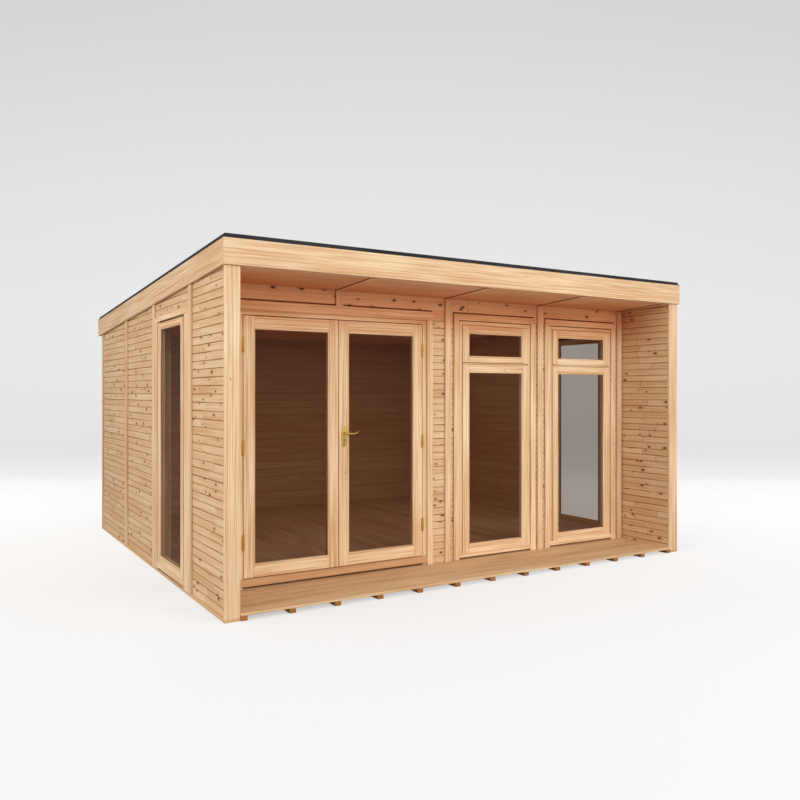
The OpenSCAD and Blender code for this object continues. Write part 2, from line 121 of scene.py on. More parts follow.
# Matt grey paper with a painted glow that only the camera sees: nearly white round the
# building and greyer up the bend. Light that bounces off it meets plain grey paper
material, tree = new_material("matt_paper_painted_glow")
lit = add(tree, "BsdfDiffuse", {"Color": linear("#A9AAAC")})
glow = add(tree, "Attribute", attribute_name="glow").outputs["Fac"]
glowing = add(tree, "Emission", {"Color": linear("#FFFFFD"), "Strength": glow})
seen = add(tree, "AddShader", {0: lit, 1: glowing})
bounce = add(tree, "BsdfDiffuse", {"Color": linear("#ABA9A5")})
ray = add(tree, "LightPath")
paper = add(tree, "MixShader", {0: ray.outputs["Is Camera Ray"], 1: bounce, 2: seen})
add(tree, "OutputMaterial", {"Surface": paper})
sweep.data.materials.append(material)

# The camera is level, at eye height off the left front corner, with its lens shifted a little
camera_data = bpy.data.cameras.new("camera")
camera_data.sensor_width = 36.0
camera_data.lens = 34.86
camera_data.shift_y = -0.0093
camera = bpy.data.objects.new("camera", camera_data)
camera.location = (-3.787, -6.912, 1.478)
camera.rotation_euler = (math.pi / 2, 0, -VIEW_TURN)
bpy.context.scene.collection.objects.link(camera)
bpy.context.scene.camera = camera


def soft_panel(name, place, aim, width, height, watts, colour):
    """A rectangular area light at a place, turned to face a point."""
    data = bpy.data.lights.new(name, "AREA")
    data.shape = "RECTANGLE"
    data.size = width
    data.size_y = height
    data.energy = watts
    data.color = linear(colour)[:3]
    panel = bpy.data.objects.new(name, data)
    direction = np.array(place, float) - np.array(aim, float)
    flat = math.hypot(direction[0], direction[1])
    panel.location = place
    panel.rotation_euler = (math.atan2(flat, direction[2]), 0, math.atan2(direction[0], -direction[1]))
    panel.visible_camera = False
    panel.visible_glossy = False
    bpy.context.scene.collection.objects.link(panel)


# The panel in the room stands for the daylight that its boards pass from one to another
soft_panel("front_panel", (1.2, -11.0, 3.8), (0, -1.0, 1.2), 8.0, 4.5, 520, "#FFFAF4")
soft_panel("left_panel", (-11.0, -3.0, 4.0), (-1.0, 0, 1.0), 6.0, 5.0, 470, "#FFFAF4")
soft_panel("room_panel", (0, 0.4, 2.15), (0, 0.4, 0), 3.4, 2.6, 10.5, "#FFEAD6")

world = bpy.data.worlds.new("overcast_dome")
bpy.context.scene.world = world
world.use_nodes = True
world.node_tree.nodes.clear()
sky = add(world.node_tree, "Background", {"Color": linear("#F4F4F6"), "Strength": 0.9})
add(world.node_tree, "OutputWorld", {"Surface": sky})
bpy.context.scene.view_settings.view_transform = "Standard"

# -------- bearers
# Thirteen sawn softwood joists lie on the ground from front to back and carry
# the whole floor; a low rail of planed timber runs under each side wall.

X, Y, Z = np.eye(3)
MM = 0.001
FALL = math.tan(math.radians(2.65))  # the roof's fall to the back
fascia_low, fascia_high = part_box("fascia_front")
FRONT = fascia_low.y
EAVES = fascia_high.z
FASCIA = 180 * MM
END_CUT = 1.2 * MM  # how far a length's end is drawn in


def soffit_height(y):
    """Height of the soffit's underside: the front edge's, less the fall times the distance back."""
    return EAVES - FASCIA - FALL * (y - FRONT)


def lengths(rng, axes, start, length, profile, groove=0.0, steps=1, low=None, top=None, sloped=False):
    """Straight lengths of timber, each a closed profile carried along a straight path.

    Point = start + along * distance + across * a + out * b, where (a, b) goes round the
    profile. The two end rings draw the profile in towards its middle, which takes the
    sharpness off the ends. The argument after the profile says how much painted shade each
    point gets, from 0 to 1, to darken recesses and gaps where shade falls. low and top hold
    every point between two heights, and a sloped length drops with the roof. Arrays:
    n lengths, r rings, p points round the profile."""
    along, across, out = axes
    start = np.atleast_2d(np.asarray(start, float))
    n = len(start)
    length = np.broadcast_to(np.asarray(length, float), (n,))
    profile = np.broadcast_to(np.asarray(profile, float), (n,) + np.shape(profile)[-2:])
    p = profile.shape[1]
    inner = END_CUT + (length[:, None] - 2 * END_CUT) * np.linspace(0, 1, steps + 1)
    along_at = np.concatenate([np.zeros((n, 1)), inner, length[:, None]], 1)
    r = along_at.shape[1]
    low_corner = profile.min(1, keepdims=True)
    high_corner = profile.max(1, keepdims=True)
    middle = (low_corner + high_corner) / 2
    drawn_in = middle + (profile - middle) * (1 - 2 * END_CUT / (high_corner - low_corner))
    rings = np.repeat(profile[:, None], r, 1)
    rings[:, 0] = drawn_in
    rings[:, -1] = drawn_in
    points = start[:, None, None] + along_at[:, :, None, None] * along
    points = points + rings[..., :1] * across + rings[..., 1:] * out
    if low is not None:
        points[..., 2] = np.maximum(points[..., 2], low)
    if top is not None:
        points[..., 2] = np.minimum(points[..., 2], top(points[..., 1]))
    if sloped:
        points[..., 2] -= FALL * (points[..., 1] - FRONT)

    base = np.arange(n)[:, None, None] * r * p
    corner = base + np.arange(r - 1)[None, :, None] * p
    here = np.arange(p)[None, None, :]
    after = (here + 1) % p
    quads = np.stack([corner + here, corner + after, corner + p + after, corner + p + here], -1)
    first = base[:, 0] + np.arange(p)[::-1]
    last = base[:, 0] + (r - 1) * p + np.arange(p)

    shift = rng.uniform(0, 40, (n, 2))  # moves each length to its own part of the grain
    step = np.roll(profile, -1, 1) - profile
    round_at = np.concatenate([np.zeros((n, 1)), np.cumsum(np.hypot(step[..., 0], step[..., 1]), 1)], 1)
    u = shift[:, :1] + along_at
    v = shift[:, 1:] + round_at
    u0, u1, v0, v1 = np.broadcast_arrays(u[:, :-1, None], u[:, 1:, None], v[:, None, :-1], v[:, None, 1:])
    quad_uv = np.stack([np.stack(pair, -1) for pair in [(u0, v0), (u0, v1), (u1, v1), (u1, v0)]], -2)
    cap_uv = profile + shift[:, None]
    cap_uvs = (cap_uv[:, ::-1], cap_uv)
    if np.linalg.det(np.array(axes)) < 0:  # left-handed axes turn the faces round
        quads, quad_uv = quads[..., ::-1], quad_uv[..., ::-1, :]
        first, last = first[:, ::-1], last[:, ::-1]
        cap_uvs = (cap_uv, cap_uv[:, ::-1])
    tone = rng.random(n)
    return {
        "points": points.reshape(-1, 3),
        "faces": quads.reshape(-1, 4).tolist() + first.tolist() + last.tolist(),
        "uv": np.concatenate([corners.reshape(-1, 2) for corners in (quad_uv, *cap_uvs)]),
        "tone": np.concatenate([np.repeat(tone, (r - 1) * p), tone, tone]),
        "end": np.concatenate([np.zeros(n * (r - 1) * p), np.ones(2 * n)]),
        "groove": np.broadcast_to(groove, (n, r, p)).reshape(-1),
    }


def spots(x, y, z):
    """Points from three coordinates, each one number or an array of them."""
    return np.stack(np.broadcast_arrays(x, y, z), -1).astype(float)


def bar(width, thickness, arris=2 * MM):
    """A rectangle with its four corners cut off, one for each width and thickness given."""
    w, t = np.broadcast_arrays(np.asarray(width, float), np.asarray(thickness, float))
    w, t, c = w[..., None], t[..., None], arris
    a = np.concatenate([0 * w + c, w - c, w, w, w - c, 0 * w + c, 0 * w, 0 * w], -1)
    b = np.concatenate([0 * t, 0 * t, 0 * t + c, t - c, t, t, t - c, 0 * t + c], -1)
    return np.stack([a, b], -1)


def stand(mesh, body, nodes):
    """Puts a finished mesh in the scene, riding its body, in place of the CAD nodes named."""
    piece = bpy.data.objects.new(mesh.name, mesh)
    bpy.context.scene.collection.objects.link(piece)
    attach(piece, body)
    if nodes:
        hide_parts(*nodes)


def build(name, materials, groups, nodes=(), body="building"):
    """Joins groups of lengths into one piece, with its grain map, tones and amounts of painted shade.

    A piece with two materials has its last group in the second one."""
    offset, faces = 0, []
    for group in groups:
        faces += [[i + offset for i in face] for face in group["faces"]]
        offset += len(group["points"])
    whole = {key: np.concatenate([g[key] for g in groups]) for key in groups[0] if key != "faces"}
    mesh = bpy.data.meshes.new(name)
    mesh.from_pydata(whole["points"].tolist(), [], faces)
    mesh.uv_layers.new(name="grain").data.foreach_set("uv", whole["uv"].ravel())
    for key, domain in (("tone", "FACE"), ("end", "FACE"), ("groove", "POINT")):
        mesh.attributes.new(key, "FLOAT", domain).data.foreach_set("value", whole[key].astype(np.float32))
    for material in materials:
        mesh.materials.append(material)
    if len(materials) > 1:
        index = np.zeros(len(faces), dtype=np.int32)
        index[-len(groups[-1]["faces"]):] = 1
        mesh.polygons.foreach_set("material_index", index)
    stand(mesh, body, nodes)


def timber(name, pale, deep, knot, knot_spacing, knot_size, painted_shade_colour="#8A5A34", sawn=0.0, streak=0.5):
    """Softwood: long fine grain, wider growth bands, knots that push the grain aside.

    The grain map gives metres along and round a length. Grain lines are 1/3 m long and
    3 mm apart, growth bands 12 mm apart, and there is one knot in each field, which is
    knot_spacing wide and nearly twice as long. A number kept for each length darkens it."""
    material, tree = new_material(name)
    place = add(tree, "UVMap", uv_map="grain")
    kept_numbers = ("tone", "end", "groove")
    tone, end, groove = [add(tree, "Attribute", attribute_name=key).outputs["Fac"] for key in kept_numbers]

    # Knots: distance to the nearest one, and how the grain bends round it
    reach = knot_size / knot_spacing
    field = (0.55 / knot_spacing, 1 / knot_spacing, 0)
    cells = add(tree, "VectorMath", {0: place, 1: field}, operation="MULTIPLY")
    near = add(tree, "TexVoronoi", {"Vector": cells, "Scale": 1.0}, voronoi_dimensions="2D")
    distance = near.outputs["Distance"]
    bulge_range = {0: distance, 2: reach * 4, 3: 0.7, 4: 0.0}
    bulge = add(tree, "MapRange", bulge_range, interpolation_type="SMOOTHSTEP")
    offset = add(tree, "VectorMath", {0: near.outputs["Position"], 1: cells}, operation="SUBTRACT")
    pushed = add(tree, "VectorMath", {0: offset, 1: (0, knot_spacing, 0)}, operation="MULTIPLY")
    moved = add(tree, "VectorMath", {0: pushed, "Scale": bulge}, operation="SCALE")
    drift_at = add(tree, "VectorMath", {0: place, 1: (1.6, 9.0, 0)}, operation="MULTIPLY")
    drift_look = {"Vector": drift_at, "Scale": 1.0, "Detail": 1.0}
    drift = add(tree, "TexNoise", drift_look, noise_dimensions="2D").outputs["Color"]
    wander = add(tree, "VectorMath", {0: drift, 1: (0, 0.016, 0)}, operation="MULTIPLY")
    bent = add(tree, "VectorMath", {0: place, 1: moved}, operation="ADD")
    grain_at = add(tree, "VectorMath", {0: bent, 1: wander}, operation="ADD")

    # Broad changes of colour, growth bands and fine grain, which add up to how dark it is.
    # Each has its place, its stretch per metre, its noise, the range read and the range given
    dark = add(tree, "MapRange", {0: tone, 3: -0.05, 4: 0.2})
    for where, stretch, detail, rough, first, last, least, most in [
        (place, (1.1, 7.0, 0), 2.0, 0.5, 0.3, 0.7, -0.1, 0.25),
        (grain_at, (0.9, 85.0, 0), 1.5, 0.5, 0.42, 0.72, 0.0, streak * 0.9),
        (grain_at, (3.0, 330.0, 0), 3.0, 0.6, 0.3, 0.75, 0.0, streak),
    ]:
        fibre_at = add(tree, "VectorMath", {0: where, 1: stretch}, operation="MULTIPLY")
        fibre_look = {"Vector": fibre_at, "Scale": 1.0, "Detail": detail, "Roughness": rough}
        fibre = add(tree, "TexNoise", fibre_look, noise_dimensions="2D")
        part = add(tree, "MapRange", {0: fibre, 1: first, 2: last, 3: least, 4: most})
        dark = add(tree, "Math", {0: dark, 1: part}, operation="ADD")
    dark.use_clamp = True
    colour = add(tree, "Mix", {0: dark, 6: linear(pale), 7: linear(deep)}, data_type="RGBA")

    # Each knot has a halo and a dark heart, and its size comes from its field. Painted shade
    # darkens recesses and gaps towards its own colour, and cut ends drink more of the finish
    size = add(tree, "SeparateColor", {0: near.outputs["Color"]})
    radius = add(tree, "MapRange", {0: size, 3: reach * 0.35, 4: reach})
    ratio = add(tree, "Math", {0: distance, 1: radius}, operation="DIVIDE")
    halo, heart = [
        add(tree, "MapRange", {0: ratio, 1: first, 2: last, 3: most, 4: 0.0}, interpolation_type="SMOOTHSTEP")
        for first, last, most in [(0.9, 2.6, 0.55), (0.55, 1.15, 0.92)]
    ]
    end_part = add(tree, "Math", {0: end, 1: 0.45}, operation="MULTIPLY")
    for amount, stain in [(halo, deep), (heart, knot), (groove, painted_shade_colour), (end_part, deep)]:
        colour = add(tree, "Mix", {0: amount, 6: colour.outputs[2], 7: linear(stain)}, data_type="RGBA")

    # Painted shade under the porch roof: near the wall and up towards the soffit, the colour is multiplied
    # darker and redder
    spot = add(tree, "TexCoord").outputs["Object"]
    x, y, z = add(tree, "SeparateXYZ", {0: spot}).outputs
    sideways = add(tree, "Math", {0: x}, operation="ABSOLUTE")
    shade = add(tree, "MapRange", {0: z, 1: 1.88, 2: 2.15}, interpolation_type="SMOOTHSTEP")
    for where, first, last, before, beyond in [
        (y, -2.08, -1.6, 0.0, 1.0),  # grows from the post's back towards the wall
        (y, -1.44, -1.42, 1.0, 0.0),  # ends inside the front wall
        (sideways, 2.09, 2.11, 1.0, 0.0),  # ends inside the wings
    ]:
        part = add(tree, "MapRange", {0: where, 1: first, 2: last, 3: before, 4: beyond})
        shade = add(tree, "Math", {0: shade, 1: part}, operation="MULTIPLY")
    painted_roof_shade = {0: shade, 6: colour.outputs[2], 7: linear("#E7C3AE")}
    kept = add(tree, "Mix", painted_roof_shade, data_type="RGBA", blend_type="MULTIPLY").outputs[2]

    gloss_range = {0: fibre, 1: 0.2, 2: 0.8, 3: 0.5 + 0.2 * sawn, 4: 0.68 + 0.2 * sawn}
    gloss = add(tree, "MapRange", gloss_range)
    relief = add(tree, "Bump", {"Height": fibre, "Strength": 0.25 + 0.5 * sawn, "Distance": 0.4 * MM})
    look = {"Base Color": kept, "Roughness": gloss, "Normal": relief, "IOR": 1.5, "Specular IOR Level": 0.35}
    surface = add(tree, "BsdfPrincipled", look)
    add(tree, "OutputMaterial", {"Surface": surface})
    return material


# Sawn treated softwood: brown, dull and rough, with dark cut ends
SAWN_BEARER = timber("sawn_treated_softwood", "#C08A50", "#8E5A2C", "#4A2A14", 0.45, 11 * MM, sawn=1.0)
# Planed softwood: pale and even, smoother than the bearers
RAIL_TIMBER = timber("planed_softwood_rail", "#E2C39A", "#C99C6C", "#6A4028", 0.6, 8 * MM)
JOIST_COUNT = 13
JOIST_W, JOIST_H = 46 * MM, 32 * MM
RAIL_H = 20 * MM
RAIL_SETBACK = 20 * MM  # from the fascia's face
RAIL_CLEAR = 1 * MM
rng = np.random.default_rng(11)
low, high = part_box("floor_bearers")
room_low, room_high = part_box("room_floor")
joist_x = np.linspace(room_low.x, room_high.x - JOIST_W, JOIST_COUNT)
joist_start = spots(joist_x, low.y, 0)
back_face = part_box("rear_wall")[1].y
joists = lengths(rng, (Y, X, Z), joist_start, back_face - low.y, bar(JOIST_W, JOIST_H))
rail_w = high.x - room_high.x - RAIL_CLEAR
rail_y = FRONT + RAIL_SETBACK
rail_start = [[low.x, rail_y, 0], [high.x - rail_w, rail_y, 0]]
rails = lengths(rng, (Y, X, Z), rail_start, high.y - rail_y, bar(rail_w, RAIL_H))
build("floor_bearers_timber", [SAWN_BEARER, RAIL_TIMBER], [joists, rails], ["floor_bearers"])

# -------- room floor
# Tongued and grooved floorboards, planed spruce, run from front to back. They
# are secret-nailed through the tongue to a deck of sheet material.

# Planed spruce, left bare: pale and matt, with soft pinkish growth bands
FLOORBOARD = timber("planed_spruce_floorboard", "#E8C8A8", "#BE8E68", "#6B3F22", 1.2, 7 * MM)
BOARD_PITCH, BOARD_T = 121 * MM, 20 * MM
BOARD_GAP = 0.4 * MM
V_JOINT = 2.5 * MM
rng = np.random.default_rng(12)
count = round((room_high.x - room_low.x) / BOARD_PITCH)
pitch = (room_high.x - room_low.x) / count
board_x = room_low.x + pitch * np.arange(count)
board_start = spots(board_x, room_low.y, room_high.z - BOARD_T)
board = bar(pitch - BOARD_GAP, BOARD_T, V_JOINT)
boards = lengths(rng, (Y, X, Z), board_start, room_high.y - room_low.y, board)
base_t = room_high.z - BOARD_T - room_low.z
base = lengths(rng, (X, Y, Z), room_low, room_high.x - room_low.x, bar(room_high.y - room_low.y, base_t))
build("room_floorboards", [FLOORBOARD], [boards, base], ["room_floor"])

# -------- veranda deck
# Planed deck boards laid close along the front. They run on under the front
# wall, and their front edge shows as one pale strip over the joists' ends.

# Planed larch: golden brown, a shade deeper than the walls
DECK_BOARD = timber("planed_larch_deck_board", "#E5C8A0", "#BE8D5E", "#6E4428", 0.9, 8 * MM)
DECK_COUNT = 6
DECK_GAP = 0.8 * MM
DECK_ARRIS = 1 * MM
rng = np.random.default_rng(13)
deck_low, deck_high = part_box("veranda_deck")
deck_pitch = (deck_high.y - deck_low.y + DECK_GAP) / DECK_COUNT
deck_y = deck_low.y + deck_pitch * np.arange(DECK_COUNT)
deck_start = spots(deck_low.x, deck_y, deck_low.z)
deck_board = bar(deck_pitch - DECK_GAP, deck_high.z - deck_low.z, DECK_ARRIS)
deck = lengths(rng, (X, Y, Z), deck_start, deck_high.x - deck_low.x, deck_board)
build("veranda_deck_boards", [DECK_BOARD], [deck], ["veranda_deck"])

# -------- side walls
# Framed panels clad in narrow shiplap, each board lapping the one below it so
# that a line shows at every joint, darkened with painted shade. Rows meet end to end at odd places.
# The same cladding covers the porch side of a wing; the room side is lined.

# Planed pine with many small dark knots, warm and matt, and brown painted shade in its laps
CLADDING = timber("planed_pine_shiplap", "#E6C9A4", "#C99D6F", "#5A3520", 0.125, 13.5 * MM, "#9C5C30")
# Planed spruce, left bare indoors: an even biscuit colour with few knots, and brown painted shade in its laps
LINING = timber("planed_spruce_lining", "#D6B08A", "#C4946A", "#8A5A3C", 0.6, 7 * MM, "#8A5A38")
ROW = 58 * MM
CLAD_T = 14 * MM
LAP_T = 8 * MM  # thickness of the tongue that the next row laps
LINING_ROW = 92 * MM
ROW_GAPS = (4 * MM, 7.5 * MM)  # how much of the tongue shows, least and most
LINING_GAPS = (2 * MM, 3 * MM)
ROW_CLEAR = 0.2 * MM
BUTT_JOINT = 2.6 * MM
SLIVER = 6 * MM  # a row or an end thinner than this is left out
SHORT_ROW = 0.7  # rows shorter than this are joined less often
NO_JOINT = 0.35  # and rows shorter than this never
PLAIN_BAND = 45 * MM  # flat board between a side window's casing and the rows over it
SOFFIT_SEAT = 11.9 * MM  # the thickness of the board on the soffit's line, less a hair
SLOPE_STEP = 0.15  # rows are divided this often where their tops follow the roof
SLOPE_STEPS = 24


def roof_underside(y):
    """Height where a wall's top meets the roof: the soffit's, plus its seat."""
    return soffit_height(y) + SOFFIT_SEAT


def shiplap(rng, rows, pitch, gap_low, gap_high):
    """Shiplap sections, one for each row: a face with broken edges and a recess above it.

    Returns n profiles of eight points, and how much painted shade each point gets."""
    gap = rng.uniform(gap_low, gap_high, rows)[:, None]
    zero = np.zeros((rows, 1))
    lap = pitch - gap
    edge = 1.3 * MM  # the broken edges of a row's face
    a = np.concatenate([zero, zero + pitch, zero + pitch, lap, lap, lap - edge, zero + edge, zero], 1)
    b = zero + np.array([0, 0, LAP_T, LAP_T, CLAD_T - edge, CLAD_T, CLAD_T, CLAD_T - edge])
    # Painted shade: full on the tongue in the lap, a little on the face's broken edges, stronger or weaker
    # from row to row
    depth = np.array([0, 0, 1, 1, 0.25, 0, 0, 0.1]) * rng.uniform(0.35, 1.0, (rows, 1, 1))
    return np.stack([a, b], -1), depth


def board_rows(rng, axes, origin, span, foot, top, pitch=ROW, datum=None, gaps=ROW_GAPS, joint_chance=0.8):
    """Rows of boards that fill a panel, cut at random joints, at the foot and at the top.

    origin is where the row's start corner lies on the axes, and span is how far the rows
    run. top is a height or a function of y, and a row that a sloping top crosses ends
    where less than a sliver is left of it."""
    along = axes[0]
    datum = foot if datum is None else datum
    sloping = callable(top)
    top_at = top if sloping else lambda y: 0 * y + top
    highest = top_at(origin[1])
    z = datum + pitch * np.arange(math.floor((foot - datum) / pitch), math.ceil((highest - datum) / pitch))
    z = z[(z + pitch > foot + SLIVER) & (z < highest - SLIVER)]
    stop = np.full(len(z), span)
    if sloping and along[1]:
        stop = np.minimum(stop, (highest - z - SLIVER) / FALL)
    cut = rng.uniform(0.22, 0.78, len(z)) * stop  # joints keep away from the ends
    joined = (rng.random(len(z)) < joint_chance * min(1.0, span / SHORT_ROW)) & (stop > NO_JOINT)
    begin = np.concatenate([np.zeros(len(z)), cut[joined] + BUTT_JOINT / 2])
    finish = np.concatenate([np.where(joined, cut - BUTT_JOINT / 2, stop), stop[joined]])
    start = np.asarray(origin, float) + begin[:, None] * along
    start[:, 2] = np.concatenate([z, z[joined]])
    profile, depth = shiplap(rng, len(start), pitch - ROW_CLEAR, *gaps)
    steps = max(1, round(span / SLOPE_STEP)) if sloping else 1
    return lengths(rng, axes, start, finish - begin, profile, depth, steps=steps, low=foot, top=top_at)


def side_wall(side, panel, over, rear):
    """The three panels of one side wall, each with its frame, cladding and lining."""
    sign = -1 if side == "left" else 1
    out = sign * X
    wing_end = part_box("front_header")[0].y
    room_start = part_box("front_header")[1].y
    room_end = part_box("rear_wall")[0].y
    casing_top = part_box(f"{side}_window_frame")[1].z
    for number, node in enumerate((panel, over, rear)):
        rng = np.random.default_rng(20 + 5 * number + (side == "right"))
        low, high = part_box(node)
        wall_out = high.x if sign > 0 else low.x
        wall_in = low.x if sign > 0 else high.x
        depth = abs(wall_out - wall_in) - 2 * CLAD_T
        foot, run = low.z, high.y - low.y
        row_foot = casing_top + PLAIN_BAND if node == over else foot
        core = np.array([[foot, 0], [EAVES, 0], [EAVES, depth], [foot, depth]])
        core_start = (wall_in + sign * CLAD_T, low.y, 0)
        outer_start = (wall_out - sign * CLAD_T, low.y, 0)
        groups = [
            # The wall's frame behind the boards, painted full shade: it shows dark through the joints
            lengths(rng, (Y, Z, out), core_start, run, core, 1.0, SLOPE_STEPS, top=roof_underside),
            board_rows(rng, (Y, Z, out), outer_start, run, row_foot, roof_underside, datum=RAIL_H),
        ]
        if node == over:
            plain_start = (wall_out - sign * CLAD_T, low.y, foot)
            groups.append(lengths(rng, (Y, out, Z), plain_start, run, bar(CLAD_T, row_foot - foot)))
        inner_y = low.y
        if low.y < wing_end:
            porch_run = wing_end - low.y
            rows = (porch_run, foot, roof_underside, ROW, RAIL_H)
            groups.append(board_rows(rng, (Y, Z, -out), core_start, *rows))
            inner_y = room_start
        inner_start = (wall_in + sign * CLAD_T, inner_y, 0)
        lining_run = min(high.y, room_end) - inner_y
        lining_foot = max(foot, room_high.z)
        rows = (lining_run, lining_foot, roof_underside, LINING_ROW, room_high.z, LINING_GAPS)
        groups.append(board_rows(rng, (Y, Z, -out), inner_start, *rows))
        build(f"{node}_cladding", [CLADDING, LINING], groups, [node])


side_wall("left", "left_front_panel", "left_over_window", "left_rear_panel")
side_wall("right", "right_front_panel", "right_over_window", "right_rear_panel")

# -------- rear wall
# One framed wall between the side walls, clad outside in four bays of shiplap
# and lined inside with the same boards as the side walls.

REAR_BAYS = 4
TOP_CLEAR = 1 * MM
rng = np.random.default_rng(40)
low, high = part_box("rear_wall")
wall_run = high.x - low.x
rear_core = bar(high.y - low.y - 2 * CLAD_T, soffit_height(high.y) - low.z)
# The wall's frame behind the boards, painted full shade: it shows dark through the joints
rear_frame = lengths(rng, (X, Y, Z), (low.x, low.y + CLAD_T, low.z), wall_run, rear_core, 1.0)
rear_top = roof_underside(high.y)
bay = wall_run / REAR_BAYS
bay_starts = [(low.x + i * bay, high.y - CLAD_T, 0) for i in range(REAR_BAYS)]
rear_clad = [board_rows(rng, (X, Z, Y), bay_start, bay, low.z, rear_top) for bay_start in bay_starts]
lining_top = roof_underside(low.y) - TOP_CLEAR
rows = (wall_run - 2 * CLAD_T, room_high.z, lining_top, LINING_ROW, room_high.z, LINING_GAPS, 0.9)
rear_lining = board_rows(rng, (X, Z, -Y), (low.x + CLAD_T, low.y + CLAD_T, 0), *rows)
rear_groups = [rear_frame, *rear_clad, rear_lining]
build("rear_wall_cladding", [CLADDING, LINING], rear_groups, ["rear_wall"])

# -------- front wall
# Four narrow piers stand between the doors and windows, clad in the same rows
# as the wings. The header above has one wide board, over a recess painted dark as shadow.

# Planed pine under the soffit: the cladding's colours made paler, painted light that offsets the painted roof
# shade here, with the same dark knots and red-brown painted shade in its laps
HEADER_BOARD = timber("planed_pine_header_board", "#F9D7B1", "#D9A878", "#5A3520", 0.12, 14 * MM, "#8A4E2C")
HEADER_ROW = 118 * MM
HEADER_LIFT = 14 * MM  # from the door's head casing up to the wide board
WINDOW_SPAN = 904 * MM  # a front window's width over its casings
RECESS_DEPTH = 6 * MM
FILLER_ARRIS = 1 * MM
header_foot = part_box("door_frame_head")[1].z + HEADER_LIFT
for number, node in enumerate(
    ["front_pier_left", "front_pier_middle", "front_pier_between_windows", "front_pier_right", "front_header"]
):
    rng = np.random.default_rng(50 + number)
    low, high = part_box(node)
    header = node == "front_header"
    top = roof_underside(low.y) if header else high.z
    inner_top = roof_underside(high.y) - TOP_CLEAR if header else high.z
    frame_top = soffit_height(high.y) if header else high.z
    width = high.x - low.x
    core = bar(high.y - low.y - 2 * CLAD_T, frame_top - low.z)
    face_start = (low.x, low.y + CLAD_T, 0)
    rows = (low.z, top - TOP_CLEAR, ROW, deck_high.z)
    if header:
        rows = (header_foot, top - TOP_CLEAR, HEADER_ROW, header_foot)
    groups = [
        # The wall's frame behind the boards, painted full shade: it shows dark through the joints
        lengths(rng, (X, Y, Z), (low.x, low.y + CLAD_T, low.z), width, core, 1.0),
        board_rows(rng, (X, Z, -Y), face_start, width, *rows),
    ]
    if header:
        # The recess and its backing are painted full shade
        recess_h = header_foot - low.z
        recess_start = (low.x, low.y + RECESS_DEPTH, low.z)
        recess = bar(CLAD_T - RECESS_DEPTH, recess_h)
        groups.append(lengths(rng, (X, Y, Z), recess_start, width, recess, 1.0))
        doors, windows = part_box("door_frame_head"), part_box("front_window_frames")
        filler_from = np.array([low.x, doors[1].x, windows[0].x + WINDOW_SPAN, windows[1].x])
        filler_to = np.array([doors[0].x, windows[0].x, windows[1].x - WINDOW_SPAN, high.x])
        filler_start = spots(filler_from, low.y, low.z)
        filler = bar(RECESS_DEPTH, recess_h, FILLER_ARRIS)
        groups.append(lengths(rng, (X, Y, Z), filler_start, filler_to - filler_from, filler))
    rows = (width, max(low.z, room_high.z), inner_top, LINING_ROW, room_high.z, LINING_GAPS, 0.2)
    groups.append(board_rows(rng, (X, Z, Y), (low.x, high.y - CLAD_T, 0), *rows))
    outside = HEADER_BOARD if header else CLADDING
    build(f"{node}_cladding", [outside, LINING], groups, [node])

# -------- posts
# A planed board covers the front end of each wing wall, pale and straight
# grained, nailed through its face.

# Planed spruce: the palest timber here, with fine straight golden grain
TRIM = timber("planed_spruce_trim", "#F0D8B6", "#C99C70", "#8A5A34", 0.45, 5 * MM, streak=0.62)
POST_ARRIS = 2.5 * MM
for number, node in enumerate(["post_left", "post_right"]):
    rng = np.random.default_rng(60 + number)
    low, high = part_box(node)
    section = bar(high.x - low.x, high.y - low.y, POST_ARRIS)
    post = lengths(rng, (Z, X, Y), low, high.z - low.z, section, top=soffit_height)
    build(f"{node}_board", [TRIM], [post], [node])

# -------- battens
# Planed cover battens stand on the cladding from the floor to the soffit and
# hide the joints between the wall panels. The rear corners have wider boards.

BATTEN_W, BATTEN_T = 62 * MM, 18 * MM
CORNER_W = 108 * MM
REAR_PITCH = 1022 * MM
for number, side in enumerate(["left", "right"]):
    rng = np.random.default_rng(70 + number)
    low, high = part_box(f"{side}_battens")
    window_low, window_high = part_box(f"{side}_window_glass")
    window_y = (window_low.y + window_high.y) / 2
    pitch = 2 * (window_y - low.y) - BATTEN_W
    start = spots(low.x, low.y + pitch * np.arange(3), low.z)
    battens = lengths(rng, (Z, Y, X), start, high.z - low.z, bar(BATTEN_W, BATTEN_T), top=soffit_height)
    build(f"{side}_batten_boards", [TRIM], [battens], [f"{side}_battens"])

rng = np.random.default_rng(73)
low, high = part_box("front_battens")
door_low, door_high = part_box("door_threshold")
door_x = (door_low.x + door_high.x) / 2
frames_low, frames_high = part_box("front_window_frames")
batten_b = (frames_low.x + frames_high.x) / 2
batten_c = high.x - BATTEN_W / 2
batten_a = 2 * batten_b - batten_c
casing_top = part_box("door_frame_head")[1].z
batten_x = np.array([batten_a, batten_b, batten_c, -batten_c, door_x]) - BATTEN_W / 2
batten_foot = np.array([low.z, low.z, low.z, low.z, casing_top])
start = spots(batten_x, low.y, batten_foot)
battens = lengths(rng, (Z, X, Y), start, high.z - batten_foot, bar(BATTEN_W, BATTEN_T), top=soffit_height)
build("front_batten_boards", [TRIM], [battens], ["front_battens"])

rng = np.random.default_rng(74)
low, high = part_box("rear_battens")
batten_x = np.concatenate([REAR_PITCH * np.arange(-1, 2) - BATTEN_W / 2, [low.x, high.x - CORNER_W]])
batten_foot = np.array([JOIST_H] * 3 + [RAIL_H] * 2)
start = spots(batten_x, low.y, batten_foot)
section = bar([BATTEN_W] * 3 + [CORNER_W] * 2, BATTEN_T)
battens = lengths(rng, (Z, X, Y), start, high.z - batten_foot, section, top=soffit_height)
build("rear_batten_boards", [TRIM], [battens], ["rear_battens"])

